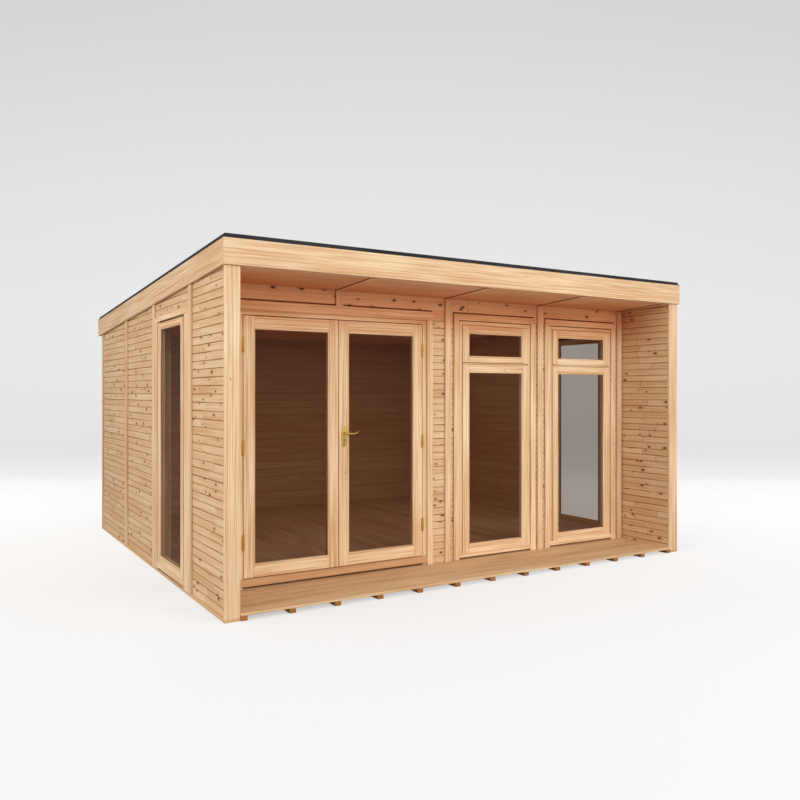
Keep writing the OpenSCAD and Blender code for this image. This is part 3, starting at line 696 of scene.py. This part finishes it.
# -------- roof
# An insulated panel carries a black rubber membrane bonded to a board. Under
# it are the porch soffit, the room's ceiling and the soffit of the rear eaves.
# Thin strips cover the joints of the porch soffit.

# Plywood: tan, flat and even, and nearly all hidden by the fascias
ROOF_CORE = timber("sheathing_plywood", "#C99E6C", "#A87848", "#5F3A22", 1.2, 8 * MM)


def recoat(node, material):
    """Gives its material to a CAD node that stays in sight."""
    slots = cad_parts[node].data.materials
    slots.clear()
    slots.append(material)


recoat("roof_panel", ROOF_CORE)

# Rubber sheet: near black and matt, with cloudy grey where it has weathered
RUBBER, tree = new_material("epdm_rubber_sheet")
spot = add(tree, "TexCoord").outputs["Object"]
weathered = add(tree, "TexNoise", {"Vector": spot, "Scale": 2.2, "Detail": 5.0, "Roughness": 0.6})
grit = add(tree, "TexNoise", {"Vector": spot, "Scale": 260.0, "Detail": 2.0})
cloudy = add(tree, "MapRange", {0: weathered, 1: 0.35, 2: 0.65})
sheet = add(tree, "Mix", {0: cloudy, 6: linear("#101012"), 7: linear("#303135")}, data_type="RGBA")
matt = add(tree, "MapRange", {0: weathered, 1: 0.3, 2: 0.7, 3: 0.6, 4: 0.8})
skin = add(tree, "Bump", {"Height": grit, "Strength": 0.2, "Distance": 0.3 * MM})
look = {"Base Color": sheet.outputs[2], "Roughness": matt, "Normal": skin, "IOR": 1.52}
surface = add(tree, "BsdfPrincipled", look)
add(tree, "OutputMaterial", {"Surface": surface})
recoat("roof_membrane", RUBBER)

# Spruce under the roof: orange brown, redder than the walls as painted light for the redder bounce under the
# roof, with dark brown painted shade on the strips' sides
SOFFIT = timber("planed_spruce_soffit", "#FED0AC", "#E2A579", "#6A4028", 0.9, 7 * MM, "#5A3420")
SOFFIT_T = 11.8 * MM
SOFFIT_JOINT = 3 * MM
STRIP_W, STRIP_T = 62 * MM, 7 * MM
STRIP_ARRIS, PORCH_ARRIS = 1 * MM, 3 * MM
CEILING_PITCH = 94 * MM
CEILING_GAP = 0.3 * MM
rng = np.random.default_rng(80)
low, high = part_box("ceiling_boards")
header_low, header_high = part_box("front_header")
rear_low, rear_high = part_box("rear_wall")
porch_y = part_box("left_front_panel")[0].y
joint_x = np.array([room_low.x, door_x, batten_a, batten_b, batten_c, room_high.x])
start = spots(joint_x[:-1], porch_y, EAVES - FASCIA)
porch = bar(header_low.y - porch_y, SOFFIT_T, PORCH_ARRIS)
strip_x = joint_x[1:-1] - (SOFFIT_JOINT + STRIP_W) / 2
strip_start = spots(strip_x, porch_y, EAVES - FASCIA - STRIP_T)
strip_run = header_low.y - BATTEN_T - porch_y
strip = bar(STRIP_W, STRIP_T, STRIP_ARRIS)
painted_shade_sides = np.array([0, 0, 1, 1, 1, 1, 1, 1])  # painted shade on all but a strip's underside
groups = [
    lengths(rng, (X, Y, Z), start, np.diff(joint_x) - SOFFIT_JOINT, porch, sloped=True),
    lengths(rng, (Y, X, Z), strip_start, strip_run, strip, painted_shade_sides, sloped=True),
]
for x0, x1, y0, y1 in [
    (room_low.x, room_high.x, header_high.y, rear_low.y),
    (low.x, high.x, rear_high.y, high.y),
]:
    count = max(1, round((y1 - y0) / CEILING_PITCH))
    pitch = (y1 - y0) / count
    start = spots(x0, y0 + pitch * np.arange(count), EAVES - FASCIA)
    groups.append(lengths(rng, (X, Y, Z), start, x1 - x0, bar(pitch - CEILING_GAP, SOFFIT_T), sloped=True))
build("ceiling_and_soffit_boards", [SOFFIT], groups, ["ceiling_boards"])

# -------- fascias
# Deep planed boards close the roof's four edges. The front and rear boards run
# past the ends of the side ones, and all four follow the fall of the roof. The
# membrane is dressed over them and ends in a black rubber trim on each board.

FASCIA_T = 20 * MM
CAP_T = 7 * MM
CAP_ARRIS = 1 * MM
caps = []
rng = np.random.default_rng(90)
side_x = fascia_high.x
rear_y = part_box("fascia_rear")[0].y
side_y = FRONT + FASCIA_T
foot = EAVES - FASCIA
for node, axes, start, run in [
    ("fascia_front", (X, Y, Z), (fascia_low.x, FRONT, foot), 2 * side_x),
    ("fascia_rear", (X, Y, Z), (fascia_low.x, rear_y, foot), 2 * side_x),
    ("fascia_left", (Y, X, Z), (fascia_low.x, side_y, foot), rear_y - side_y),
    ("fascia_right", (Y, X, Z), (side_x - FASCIA_T, side_y, foot), rear_y - side_y),
]:
    board = lengths(rng, axes, start, run, bar(FASCIA_T, FASCIA - CAP_T), sloped=True)
    build(f"{node}_board", [TRIM], [board], [node])
    cap_start = np.array(start) + (FASCIA - CAP_T) * Z
    caps.append(lengths(rng, axes, cap_start, run, bar(FASCIA_T, CAP_T, CAP_ARRIS), sloped=True))
build("roof_edge_trim", [RUBBER], caps)

# -------- door frame
# Two jambs with stops, a head and a threshold, all planed softwood. Casing
# boards are planted on the wall round the frame and leave part of it showing.

# Planed redwood: pale and clean, with straight grain and almost no knots, and dark brown painted shade in its
# recesses
JOINERY = timber("planed_redwood_joinery", "#FAE3BE", "#CE9E6F", "#8A5A34", 0.5, 5 * MM, "#5A3420", 0.0, 0.62)
# Oiled hardwood: a deeper brown that marks the foot of the doors, with near-black painted shade in the recess
# under it
SILL_TIMBER = timber("oiled_hardwood_sill", "#D3A87D", "#B57F56", "#6A4028", 1.0, 5 * MM, "#4A2A1A")
CASING_W, CASING_T = 55 * MM, 18 * MM
HEAD_CASING = 73 * MM
CASING_GAP = 0.4 * MM  # between an upright casing and the head casing
LEAF_GAP = 5.4 * MM
LEAF_T = 44 * MM
JAMB_W, REVEAL, STOP_W = 45 * MM, 38 * MM, 12 * MM
NOSE_GAP = 0.5 * MM  # between the threshold's nose and the casings
FOOT_H, FOOT_BACK = 16 * MM, 30 * MM  # recess under the threshold, painted dark as shade
SILL_ARRIS = 3 * MM
FACE = header_low.y
ROOM_FACE = header_high.y
FRAME_TOP = header_low.z


def members(rng, grain, boxes, turn=np.eye(3), at=(0, 0, 0), arris=1.8 * MM, painted_shade_amount=0.0):
    """Planed members, each given as x0, x1, y0, y1, z0, z1, with the grain along one axis.

    A member is its rectangle across the grain, carried along the grain; turn and at then
    place the whole set. The last argument darkens the members with painted shade."""
    x0, x1, y0, y1, z0, z1 = np.atleast_2d(np.asarray(boxes, float)).T
    axes, length, section = {
        "x": ((X, Z, Y), x1 - x0, bar(z1 - z0, y1 - y0, arris)),
        "z": ((Z, X, Y), z1 - z0, bar(x1 - x0, y1 - y0, arris)),
    }[grain]
    start = spots(x0, y0, z0) @ turn.T + np.asarray(at, float)
    return lengths(rng, tuple(turn @ axis for axis in axes), start, length, section, painted_shade_amount)


rng = np.random.default_rng(100)
leaf_low, leaf_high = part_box("door_leaf_left")
tread = door_high.z
head = leaf_high.z + LEAF_GAP
stop_y = FACE + LEAF_T + LEAF_GAP
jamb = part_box("door_leaf_right")[1].x - door_x + LEAF_GAP
opening = jamb + JAMB_W
stop = jamb - STOP_W
casing = jamb + REVEAL
reach = casing + CASING_W
for node, sign in [("door_frame_left", -1), ("door_frame_right", 1)]:
    spans = [
        (jamb, opening, FACE, ROOM_FACE, deck_high.z, head),
        (stop, jamb, stop_y, ROOM_FACE, tread, head - STOP_W),
        (casing, reach, FACE - CASING_T, FACE, deck_high.z, casing_top - HEAD_CASING - CASING_GAP),
    ]
    boxes = [(*sorted((door_x + sign * a, door_x + sign * b)), *rest) for a, b, *rest in spans]
    build(f"{node}_members", [JOINERY], [members(rng, "z", boxes)], [node])
head_boxes = [
    (door_x - opening, door_x + opening, FACE, ROOM_FACE, head, FRAME_TOP),
    (door_x - stop, door_x + stop, stop_y, ROOM_FACE, head - STOP_W, head),
    (door_x - reach, door_x + reach, FACE - CASING_T, FACE, casing_top - HEAD_CASING, casing_top),
]
head_parts = [members(rng, "x", head_boxes)]
build("door_frame_head_members", [JOINERY], head_parts, ["door_frame_head"])
sill_low = door_low.z + FOOT_H
nose = casing - NOSE_GAP
threshold_boxes = [
    (door_x - jamb, door_x + jamb, FACE, ROOM_FACE, sill_low, tread),
    (door_x - nose, door_x + nose, FACE - CASING_T, FACE, sill_low, tread),
]
# The block in the recess under the threshold is painted full shade
foot_box = [(door_x - jamb, door_x + jamb, FACE + FOOT_BACK, ROOM_FACE, door_low.z, sill_low)]
threshold = [members(rng, "x", threshold_boxes, arris=SILL_ARRIS), members(rng, "x", foot_box, painted_shade_amount=1.0)]
build("door_threshold_members", [SILL_TIMBER], threshold, ["door_threshold"])

# -------- door leaves
# Each leaf is two stiles and two rails round one sealed glass unit, which
# small beads hold in its rebate on both faces.

STILE, RAIL = 90 * MM, 98 * MM
GLASS_T = 24 * MM
BEAD = 11 * MM
BEAD_SET_IN = 2 * MM
BEAD_CHAMFER = 3 * MM


def glazed_frame(rng, x0, x1, y0, y1, z0, z1, stile, rail, turn=np.eye(3), at=(0, 0, 0), cut=(0, 0)):
    """Stiles, rails between them, and four chamfered beads on each face of the glass.

    cut shortens the frame at its foot and its top, and the glass stays where it was."""
    a, b = x0 + stile - BEAD, x1 - stile + BEAD
    c, d = z0 + rail - BEAD, z1 - rail + BEAD
    foot, top = z0 + cut[0], z1 - cut[1]
    uprights = [(x0, a, y0, y1, foot, top), (b, x1, y0, y1, foot, top)]
    levels = [(a, b, y0, y1, foot, c), (a, b, y0, y1, d, top)]
    recess = (y1 - y0 - GLASS_T) / 2
    bead_uprights, bead_levels = [], []
    for near, far in [(y0 + BEAD_SET_IN, y0 + recess), (y1 - recess, y1 - BEAD_SET_IN)]:
        bead_uprights += [(a, a + BEAD, near, far, c, d), (b - BEAD, b, near, far, c, d)]
        bead_levels += [(a + BEAD, b - BEAD, near, far, z, z + BEAD) for z in (c, d - BEAD)]
    return [
        members(rng, "z", uprights, turn, at),
        members(rng, "x", levels, turn, at),
        members(rng, "z", bead_uprights, turn, at, BEAD_CHAMFER),
        members(rng, "x", bead_levels, turn, at, BEAD_CHAMFER),
    ]


for number, (node, body) in enumerate([("door_leaf_left", "left_door"), ("door_leaf_right", "right_door")]):
    rng = np.random.default_rng(110 + number)
    low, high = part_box(node)
    parts = glazed_frame(rng, low.x, high.x, low.y, high.y, low.z, high.z, STILE, RAIL)
    build(f"{node}_frame", [JOINERY], parts, [node], body)

# -------- glass
# Sealed units of bronze-tinted float glass, bedded in the door leaves and the
# window sashes behind their beads.

# Tinted glass: sight and light both go through, darker and warmer, with a faint
# mirror-like sheen that grows at a glancing angle
GLASS, tree = new_material("bronze_tinted_float_glass")
facing = add(tree, "LayerWeight", {"Blend": 0.5}).outputs["Facing"]
glance = add(tree, "Math", {0: facing, 1: 5.0}, operation="POWER")
sheen = add(tree, "MapRange", {0: glance, 3: 0.004, 4: 0.18})
spot = add(tree, "TexCoord").outputs["Object"]
smear = add(tree, "TexNoise", {"Vector": spot, "Scale": 3.0, "Detail": 3.0})
polish = add(tree, "MapRange", {0: smear, 1: 0.3, 2: 0.7, 3: 0.01, 4: 0.05})
tint = add(tree, "BsdfTransparent", {"Color": linear("#E4E1DF")})
mirror = add(tree, "BsdfGlossy", {"Color": (1, 1, 1, 1), "Roughness": polish})
pane = add(tree, "MixShader", {0: sheen, 1: tint, 2: mirror})
add(tree, "OutputMaterial", {"Surface": pane})
panes = ["door_glass_left", "door_glass_right"]
panes += ["front_window_glass", "left_window_glass", "right_window_glass"]
for node in panes:
    recoat(node, GLASS)

# -------- windows
# Fixed timber windows. A front window has a shallow upper sash over a tall
# one, a side window a single tall sash. Casing boards cover the joint between
# the frame and the wall, and a sill stands over a recess at the bottom. The recess,
# the frame behind the band and the head of a side window are painted dark as shade.

SASH_W, SASH_MEMBER, SASH_T, SASH_GAP = 724 * MM, 72 * MM, 44 * MM, 2 * MM
UPPER_SASH = 335 * MM
FRAME_W = 48 * MM
SILL_GAP, SILL_H = 16 * MM, 40 * MM
LINE = 6 * MM  # shadow gap round the band of frame that shows
BAND_PROUD, BAND_BACK = 10 * MM, 8 * MM
HEAD_SHADE = 17 * MM  # recess under the head casing of a side window, painted dark as shade
TRANSOM = 15 * MM  # strip between the upper and lower sash of a front window
TRANSOM_GAP = 3 * MM
FRONT_REVEAL, SIDE_REVEAL = 33 * MM, 23 * MM
SIDE_HEAD = 38 * MM
PAINTED_RECESS_SHADE = 0.9  # how much painted shade a recess gets


def window_frame(rng, turn, at, foot, sash_top, top, casing_top, reach, reveal, head_w):
    """One window's jambs, sill, head, casings and recessed foot, about its own middle; the members in its
    recesses are painted dark as shade.
    """
    wall_t = ROOM_FACE - FACE
    inner = SASH_W / 2 + SASH_GAP
    outer = inner + FRAME_W
    edge = inner + reveal
    band = inner + LINE / 2
    sill = foot + SILL_GAP
    sill_top = sill + SILL_H
    under_casing = casing_top - head_w
    has_band = under_casing > sash_top + 2 * LINE
    band_top = under_casing - LINE if has_band else sash_top
    uprights, painted_shade_uprights = [], []
    for sign in (-1, 1):
        for group, a, b, y0, y1, z0, z1 in [
            (uprights, band, edge - LINE, -BAND_PROUD, 0, sill_top, band_top),
            (uprights, band, outer, BAND_BACK, wall_t, sill_top, sash_top),
            (painted_shade_uprights, inner, outer, 0, BAND_BACK, sill_top, top),
            (uprights, edge, reach, -CASING_T, 0, foot, under_casing - CASING_GAP),
        ]:
            group.append((*sorted((sign * a, sign * b)), y0, y1, z0, z1))
    levels = [
        (-edge, edge, -CASING_T, wall_t, sill, sill_top),
        (-outer, outer, BAND_BACK, wall_t, sash_top + LINE / 2, top),
        (-reach, reach, -CASING_T, 0, under_casing, casing_top),
    ]
    if has_band:
        levels.append((-band, band, -BAND_PROUD, 0, sash_top + LINE / 2, under_casing - LINE))
    painted_shade_levels = [
        (-inner, inner, 0, BAND_BACK, sash_top if has_band else sash_top - HEAD_SHADE, top),
        (-outer, outer, FOOT_BACK, wall_t, foot, sill),
    ]
    return [
        members(rng, "z", uprights, turn, at),
        members(rng, "x", levels, turn, at),
        members(rng, "z", painted_shade_uprights, turn, at, painted_shade_amount=PAINTED_RECESS_SHADE),
        members(rng, "x", painted_shade_levels, turn, at, painted_shade_amount=PAINTED_RECESS_SHADE),
    ]


def window_sash(rng, turn, at, low, high, cut=(0, 0)):
    """One sash with its beads, standing as far out as the casings."""
    half = SASH_W / 2
    back = SASH_T - CASING_T
    return glazed_frame(rng, -half, half, -CASING_T, back, low, high, SASH_MEMBER, SASH_MEMBER, turn, at, cut)


rng = np.random.default_rng(120)
front_reach = SASH_W / 2 + SASH_GAP + FRONT_REVEAL + CASING_W
sash_low, sash_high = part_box("front_window_sashes")
split = sash_high.z - UPPER_SASH
transom_z = (split + SASH_GAP, split + TRANSOM - TRANSOM_GAP)
transom_box = [(-SASH_W / 2, SASH_W / 2, -BAND_PROUD, SASH_T - CASING_T, *transom_z)]
frame_parts, sash_parts = [], []
for x in [frames_low.x + front_reach, frames_high.x - front_reach]:
    at = (x, FACE, 0)
    heights = (frames_low.z, sash_high.z, FRAME_TOP, frames_high.z)
    frame_parts += window_frame(rng, np.eye(3), at, *heights, front_reach, FRONT_REVEAL, CASING_W)
    sash_parts += window_sash(rng, np.eye(3), at, split + SASH_GAP, sash_high.z, (TRANSOM, 0))
    sash_parts.append(members(rng, "x", transom_box, np.eye(3), at))
    sash_parts += window_sash(rng, np.eye(3), at, sash_low.z, split)
build("front_window_frame_members", [JOINERY], frame_parts, ["front_window_frames"])
build("front_window_sash_members", [JOINERY], sash_parts, ["front_window_sashes"])

for number, (side, sign) in enumerate([("left", -1), ("right", 1)]):
    rng = np.random.default_rng(130 + number)
    turn = np.array([[0, -sign, 0], [sign, 0, 0], [0, 0, 1.0]])
    low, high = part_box(f"{side}_window_frame")
    side_sash_low, side_sash_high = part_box(f"{side}_window_sash")
    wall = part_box(f"{side}_front_panel")
    at = (wall[1].x if sign > 0 else wall[0].x, (low.y + high.y) / 2, 0)
    heights = (low.z, side_sash_high.z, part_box(f"{side}_over_window")[0].z, high.z)
    parts = window_frame(rng, turn, at, *heights, (high.y - low.y) / 2, SIDE_REVEAL, SIDE_HEAD)
    build(f"{side}_window_frame_members", [JOINERY], parts, [f"{side}_window_frame"])
    parts = window_sash(rng, turn, at, side_sash_low.z, side_sash_high.z, (0, HEAD_SHADE))
    build(f"{side}_window_sash_members", [JOINERY], parts, [f"{side}_window_sash"])

# -------- hinges
# Brass butt hinges with loose pins, three to a leaf: one half is screwed to the
# frame and the other to the leaf, and their knuckles share one pin.

# Polished lacquered brass: bright yellow metal, a little cloudy where it is touched
BRASS, tree = new_material("polished_lacquered_brass")
spot = add(tree, "TexCoord").outputs["Object"]
touched = add(tree, "TexNoise", {"Vector": spot, "Scale": 45.0, "Detail": 4.0})
metal = add(tree, "Mix", {0: touched, 6: linear("#FAD884"), 7: linear("#E2B454")}, data_type="RGBA")
worn = add(tree, "MapRange", {0: touched, 1: 0.3, 2: 0.7, 3: 0.24, 4: 0.4})
look = {"Base Color": metal.outputs[2], "Roughness": worn, "Metallic": 1.0}
surface = add(tree, "BsdfPrincipled", look)
add(tree, "OutputMaterial", {"Surface": surface})


def turned_piece(name, body, material, parts, nodes=()):
    """Joins grids of points, each closed round its second direction, into one smooth piece."""
    points, faces, offset = [], [], 0
    for grid in parts:
        rings, around = grid.shape[:2]
        index = offset + np.arange(rings * around).reshape(rings, around)
        after = np.roll(index, -1, 1)
        faces += np.stack([index[:-1], after[:-1], after[1:], index[1:]], -1).reshape(-1, 4).tolist()
        faces += [index[0, ::-1].tolist(), index[-1].tolist()]
        points.append(grid.reshape(-1, 3))
        offset += rings * around
    mesh = bpy.data.meshes.new(name)
    mesh.from_pydata(np.concatenate(points).tolist(), [], faces)
    mesh.polygons.foreach_set("use_smooth", [True] * len(mesh.polygons))
    mesh.set_sharp_from_angle(angle=math.radians(35))
    mesh.materials.append(material)
    stand(mesh, body, nodes)


def turned(centre, heights, radii, axis=Z, across=X, sides=32):
    """A surface of revolution: point = centre + axis * height + radius * (cos, sin) of the turn."""
    t = np.arange(sides) * 2 * math.pi / sides
    up = np.cross(axis, across)
    ring = np.cos(t)[:, None] * across + np.sin(t)[:, None] * up
    heights, radii = np.asarray(heights)[:, None, None], np.asarray(radii)[:, None, None]
    return np.asarray(centre) + heights * axis + radii * ring


def plate(centre, width, height, thickness, corner, edge, out=-Y, power=4.0):
    """A plate with a rounded outline, |x/a|^p + |z/b|^p = 1, drawn in over its bevelled edge."""
    t = (np.arange(64) + 0.5) * math.pi / 32
    c, s = np.cos(t), np.sin(t)
    x = (width / 2 - corner) * np.sign(c) * np.abs(c) ** (2 / power) + corner * c
    z = (height / 2 - corner) * np.sign(s) * np.abs(s) ** (2 / power) + corner * s
    depth = np.array([0, thickness - edge, thickness - 0.3 * edge, thickness])
    draw = np.array([0, 0, 0.35, 1.0])[:, None] * edge
    across = x * (1 - 2 * draw / width)
    rise = z * (1 - 2 * draw / height)
    right = np.cross(Z, out)
    return np.asarray(centre) + across[..., None] * right + rise[..., None] * Z + depth[:, None, None] * out


HINGE_H, PLATE_W, PLATE_T = 112 * MM, 11 * MM, 2.5 * MM
PLATE_SET_OFF = 2 * MM  # from the pin's line to the plate's near edge
KNUCKLE_R, KNUCKLE_CLEAR = 6 * MM, 1 * MM
KNUCKLE_GAP = 0.5 * MM
KNUCKLE_SOFT = 0.6 * MM
HINGE_HEIGHTS = (260 * MM, 950 * MM)  # up from the leaf's foot to the two lower hinges
TOP_HINGE = 212 * MM  # down from the leaf's top
hinge_y = FACE - KNUCKLE_R - KNUCKLE_CLEAR
hinge_z = [leaf_low.z + HINGE_HEIGHTS[0], leaf_low.z + HINGE_HEIGHTS[1], leaf_high.z - TOP_HINGE]
sixth = HINGE_H / 6


def barrel(x, z, low, high):
    """A knuckle: a turned cylinder with softened rims."""
    heights = [low, low + KNUCKLE_SOFT, high - KNUCKLE_SOFT, high]
    radii = np.array([-KNUCKLE_SOFT, 0, 0, -KNUCKLE_SOFT]) + KNUCKLE_R
    return turned((x, hinge_y, z), heights, radii)


def hinge_leaf(x, z, out):
    """A plate on the timber's face, beside the knuckle, with a bevelled edge."""
    centre = (x + out * (PLATE_SET_OFF + PLATE_W / 2), FACE, z)
    return plate(centre, PLATE_W, HINGE_H, PLATE_T, corner=1 * MM, edge=0.8 * MM, power=12.0)


jamb_parts, leaf_parts = [], {-1: [], 1: []}
for side in (-1, 1):
    x = door_x + side * (jamb - LEAF_GAP / 2)
    for z in hinge_z:
        jamb_parts.append(barrel(x, z, -HINGE_H / 2, -sixth - KNUCKLE_GAP / 2))
        jamb_parts.append(barrel(x, z, sixth + KNUCKLE_GAP / 2, HINGE_H / 2))
        jamb_parts.append(hinge_leaf(x, z, side))
        leaf_parts[side].append(barrel(x, z, -sixth + KNUCKLE_GAP / 2, sixth - KNUCKLE_GAP / 2))
        leaf_parts[side].append(hinge_leaf(x, z, -side))
turned_piece("frame_hinge_halves", "building", BRASS, jamb_parts, ["frame_hinges"])
turned_piece("left_leaf_hinge_halves", "left_door", BRASS, leaf_parts[-1], ["left_leaf_hinges"])
turned_piece("right_leaf_hinge_halves", "right_door", BRASS, leaf_parts[1], ["right_leaf_hinges"])

# -------- handle
# A brass lever on a long backplate with a keyhole, on each face of the right
# leaf. The lever is cast: it dips, swells and turns up at its tip.

# Painted keyhole shadow: a near-black metal disc and slot on each backplate, in place of the shade inside the
# hole
KEYHOLE_SHADOW, tree = new_material("keyhole_painted_shadow")
spot = add(tree, "TexCoord").outputs["Object"]
oil = add(tree, "TexNoise", {"Vector": spot, "Scale": 300.0, "Detail": 2.0})
shade = add(tree, "Mix", {0: oil, 6: linear("#141210"), 7: linear("#2A2622")}, data_type="RGBA")
look = {"Base Color": shade.outputs[2], "Roughness": 0.6, "Metallic": 1.0}
surface = add(tree, "BsdfPrincipled", look)
add(tree, "OutputMaterial", {"Surface": surface})
BACKPLATE = (45 * MM, 165 * MM, 5 * MM)  # width, height and thickness
SPINDLE_RISE = 22 * MM  # from the backplate's middle up to the spindle
SPINDLE_R, SPINDLE_PROUD = 4 * MM, 2 * MM
SCREW_RISE, SCREW_SUNK = 68 * MM, 1 * MM
SCREW_HEIGHTS = np.array([0, 1.4, 2.0]) * MM
SCREW_RADII = np.array([4.2, 4.0, 2.6]) * MM
KEYHOLE_DROP, KEYHOLE_SUNK = 50 * MM, 0.2 * MM
KEYHOLE_R, KEYHOLE_T = 4 * MM, 0.4 * MM
KEY_SLOT, KEY_SLOT_DROP = (4.4 * MM, 12 * MM, KEYHOLE_T), 7 * MM
NECK_CLEAR = 0.3 * MM
NECK_HEIGHTS = np.array([0, 4, 6, 9, 26, 31]) * MM
NECK_RADII = np.array([11, 11, 9, 6.5, 6.2, 7.5]) * MM
LEVER_L, LEVER_TAIL, LEVER_OUT = 112 * MM, 8 * MM, 36 * MM
LEVER_DIP, LEVER_TIP = 6 * MM, 15 * MM
LEVER_AT = [0, 0.05, 0.15, 0.55, 0.85, 0.97, 1]  # parts of the lever's length
LEVER_HALF_H = np.array([3, 7, 8, 6, 5.2, 4, 1.5]) * MM
LEVER_HALF_T = np.array([2, 5, 5.4, 4.2, 4, 3.2, 1.2]) * MM
plate_low, plate_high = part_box("handle_plates")
plate_z = (plate_low.z + plate_high.z) / 2
spindle_x = (plate_low.x + plate_high.x) / 2
spindle_z = plate_z + SPINDLE_RISE


def lever(face, out):
    """A cast lever: an ellipse, whose two half-axes change along a path that dips and turns up."""
    t = np.linspace(0, 1, 41)
    run = -LEVER_TAIL + (LEVER_L + LEVER_TAIL) * t
    rise = LEVER_TIP * t**6 - LEVER_DIP * np.sin(math.pi * t) * t
    half_h = np.interp(t, LEVER_AT, LEVER_HALF_H)[:, None, None]
    half_t = np.interp(t, LEVER_AT, LEVER_HALF_T)[:, None, None]
    a = np.arange(24)[:, None] * math.pi / 12
    path = spots(spindle_x + run, face + out[1] * LEVER_OUT, spindle_z + rise)
    return path[:, None] + half_t * np.cos(a) * Y + half_h * np.sin(a) * Z


plate_parts, lever_parts, keyhole_shadows = [], [], []
for face, out in [(FACE, -Y), (FACE + LEAF_T, Y)]:
    middle = np.array([spindle_x, face, plate_z])
    plate_parts.append(plate(middle, *BACKPLATE, corner=10 * MM, edge=3 * MM, out=out))
    front = middle + BACKPLATE[2] * out
    for rise in (-SCREW_RISE, SCREW_RISE):
        plate_parts.append(turned(front - SCREW_SUNK * out + rise * Z, SCREW_HEIGHTS, SCREW_RADII, out))
    # Each keyhole is a thin near-black disc and slot laid on the plate, painted as the hole's shadow
    key = front - KEYHOLE_SUNK * out + (SPINDLE_RISE - KEYHOLE_DROP) * Z
    keyhole_shadows.append(turned(key, [0, KEYHOLE_T], [KEYHOLE_R, KEYHOLE_R], out))
    keyhole_shadows.append(plate(key - KEY_SLOT_DROP * Z, *KEY_SLOT, corner=0.5 * MM, edge=0.1 * MM, out=out))
    neck = front + NECK_CLEAR * out + SPINDLE_RISE * Z
    lever_parts.append(turned(neck, NECK_HEIGHTS, NECK_RADII, out))
    lever_parts.append(lever(face, out))
spindle = (spindle_x, FACE - SPINDLE_PROUD, spindle_z)
lever_parts.append(turned(spindle, [0, LEAF_T + 2 * SPINDLE_PROUD], [SPINDLE_R, SPINDLE_R], Y))
turned_piece("handle_backplates", "right_door", BRASS, plate_parts, ["handle_plates"])
turned_piece("handle_keyhole_painted_shadows", "right_door", KEYHOLE_SHADOW, keyhole_shadows)
turned_piece("handle_lever_pair", "lever", BRASS, lever_parts, ["handle_lever"])
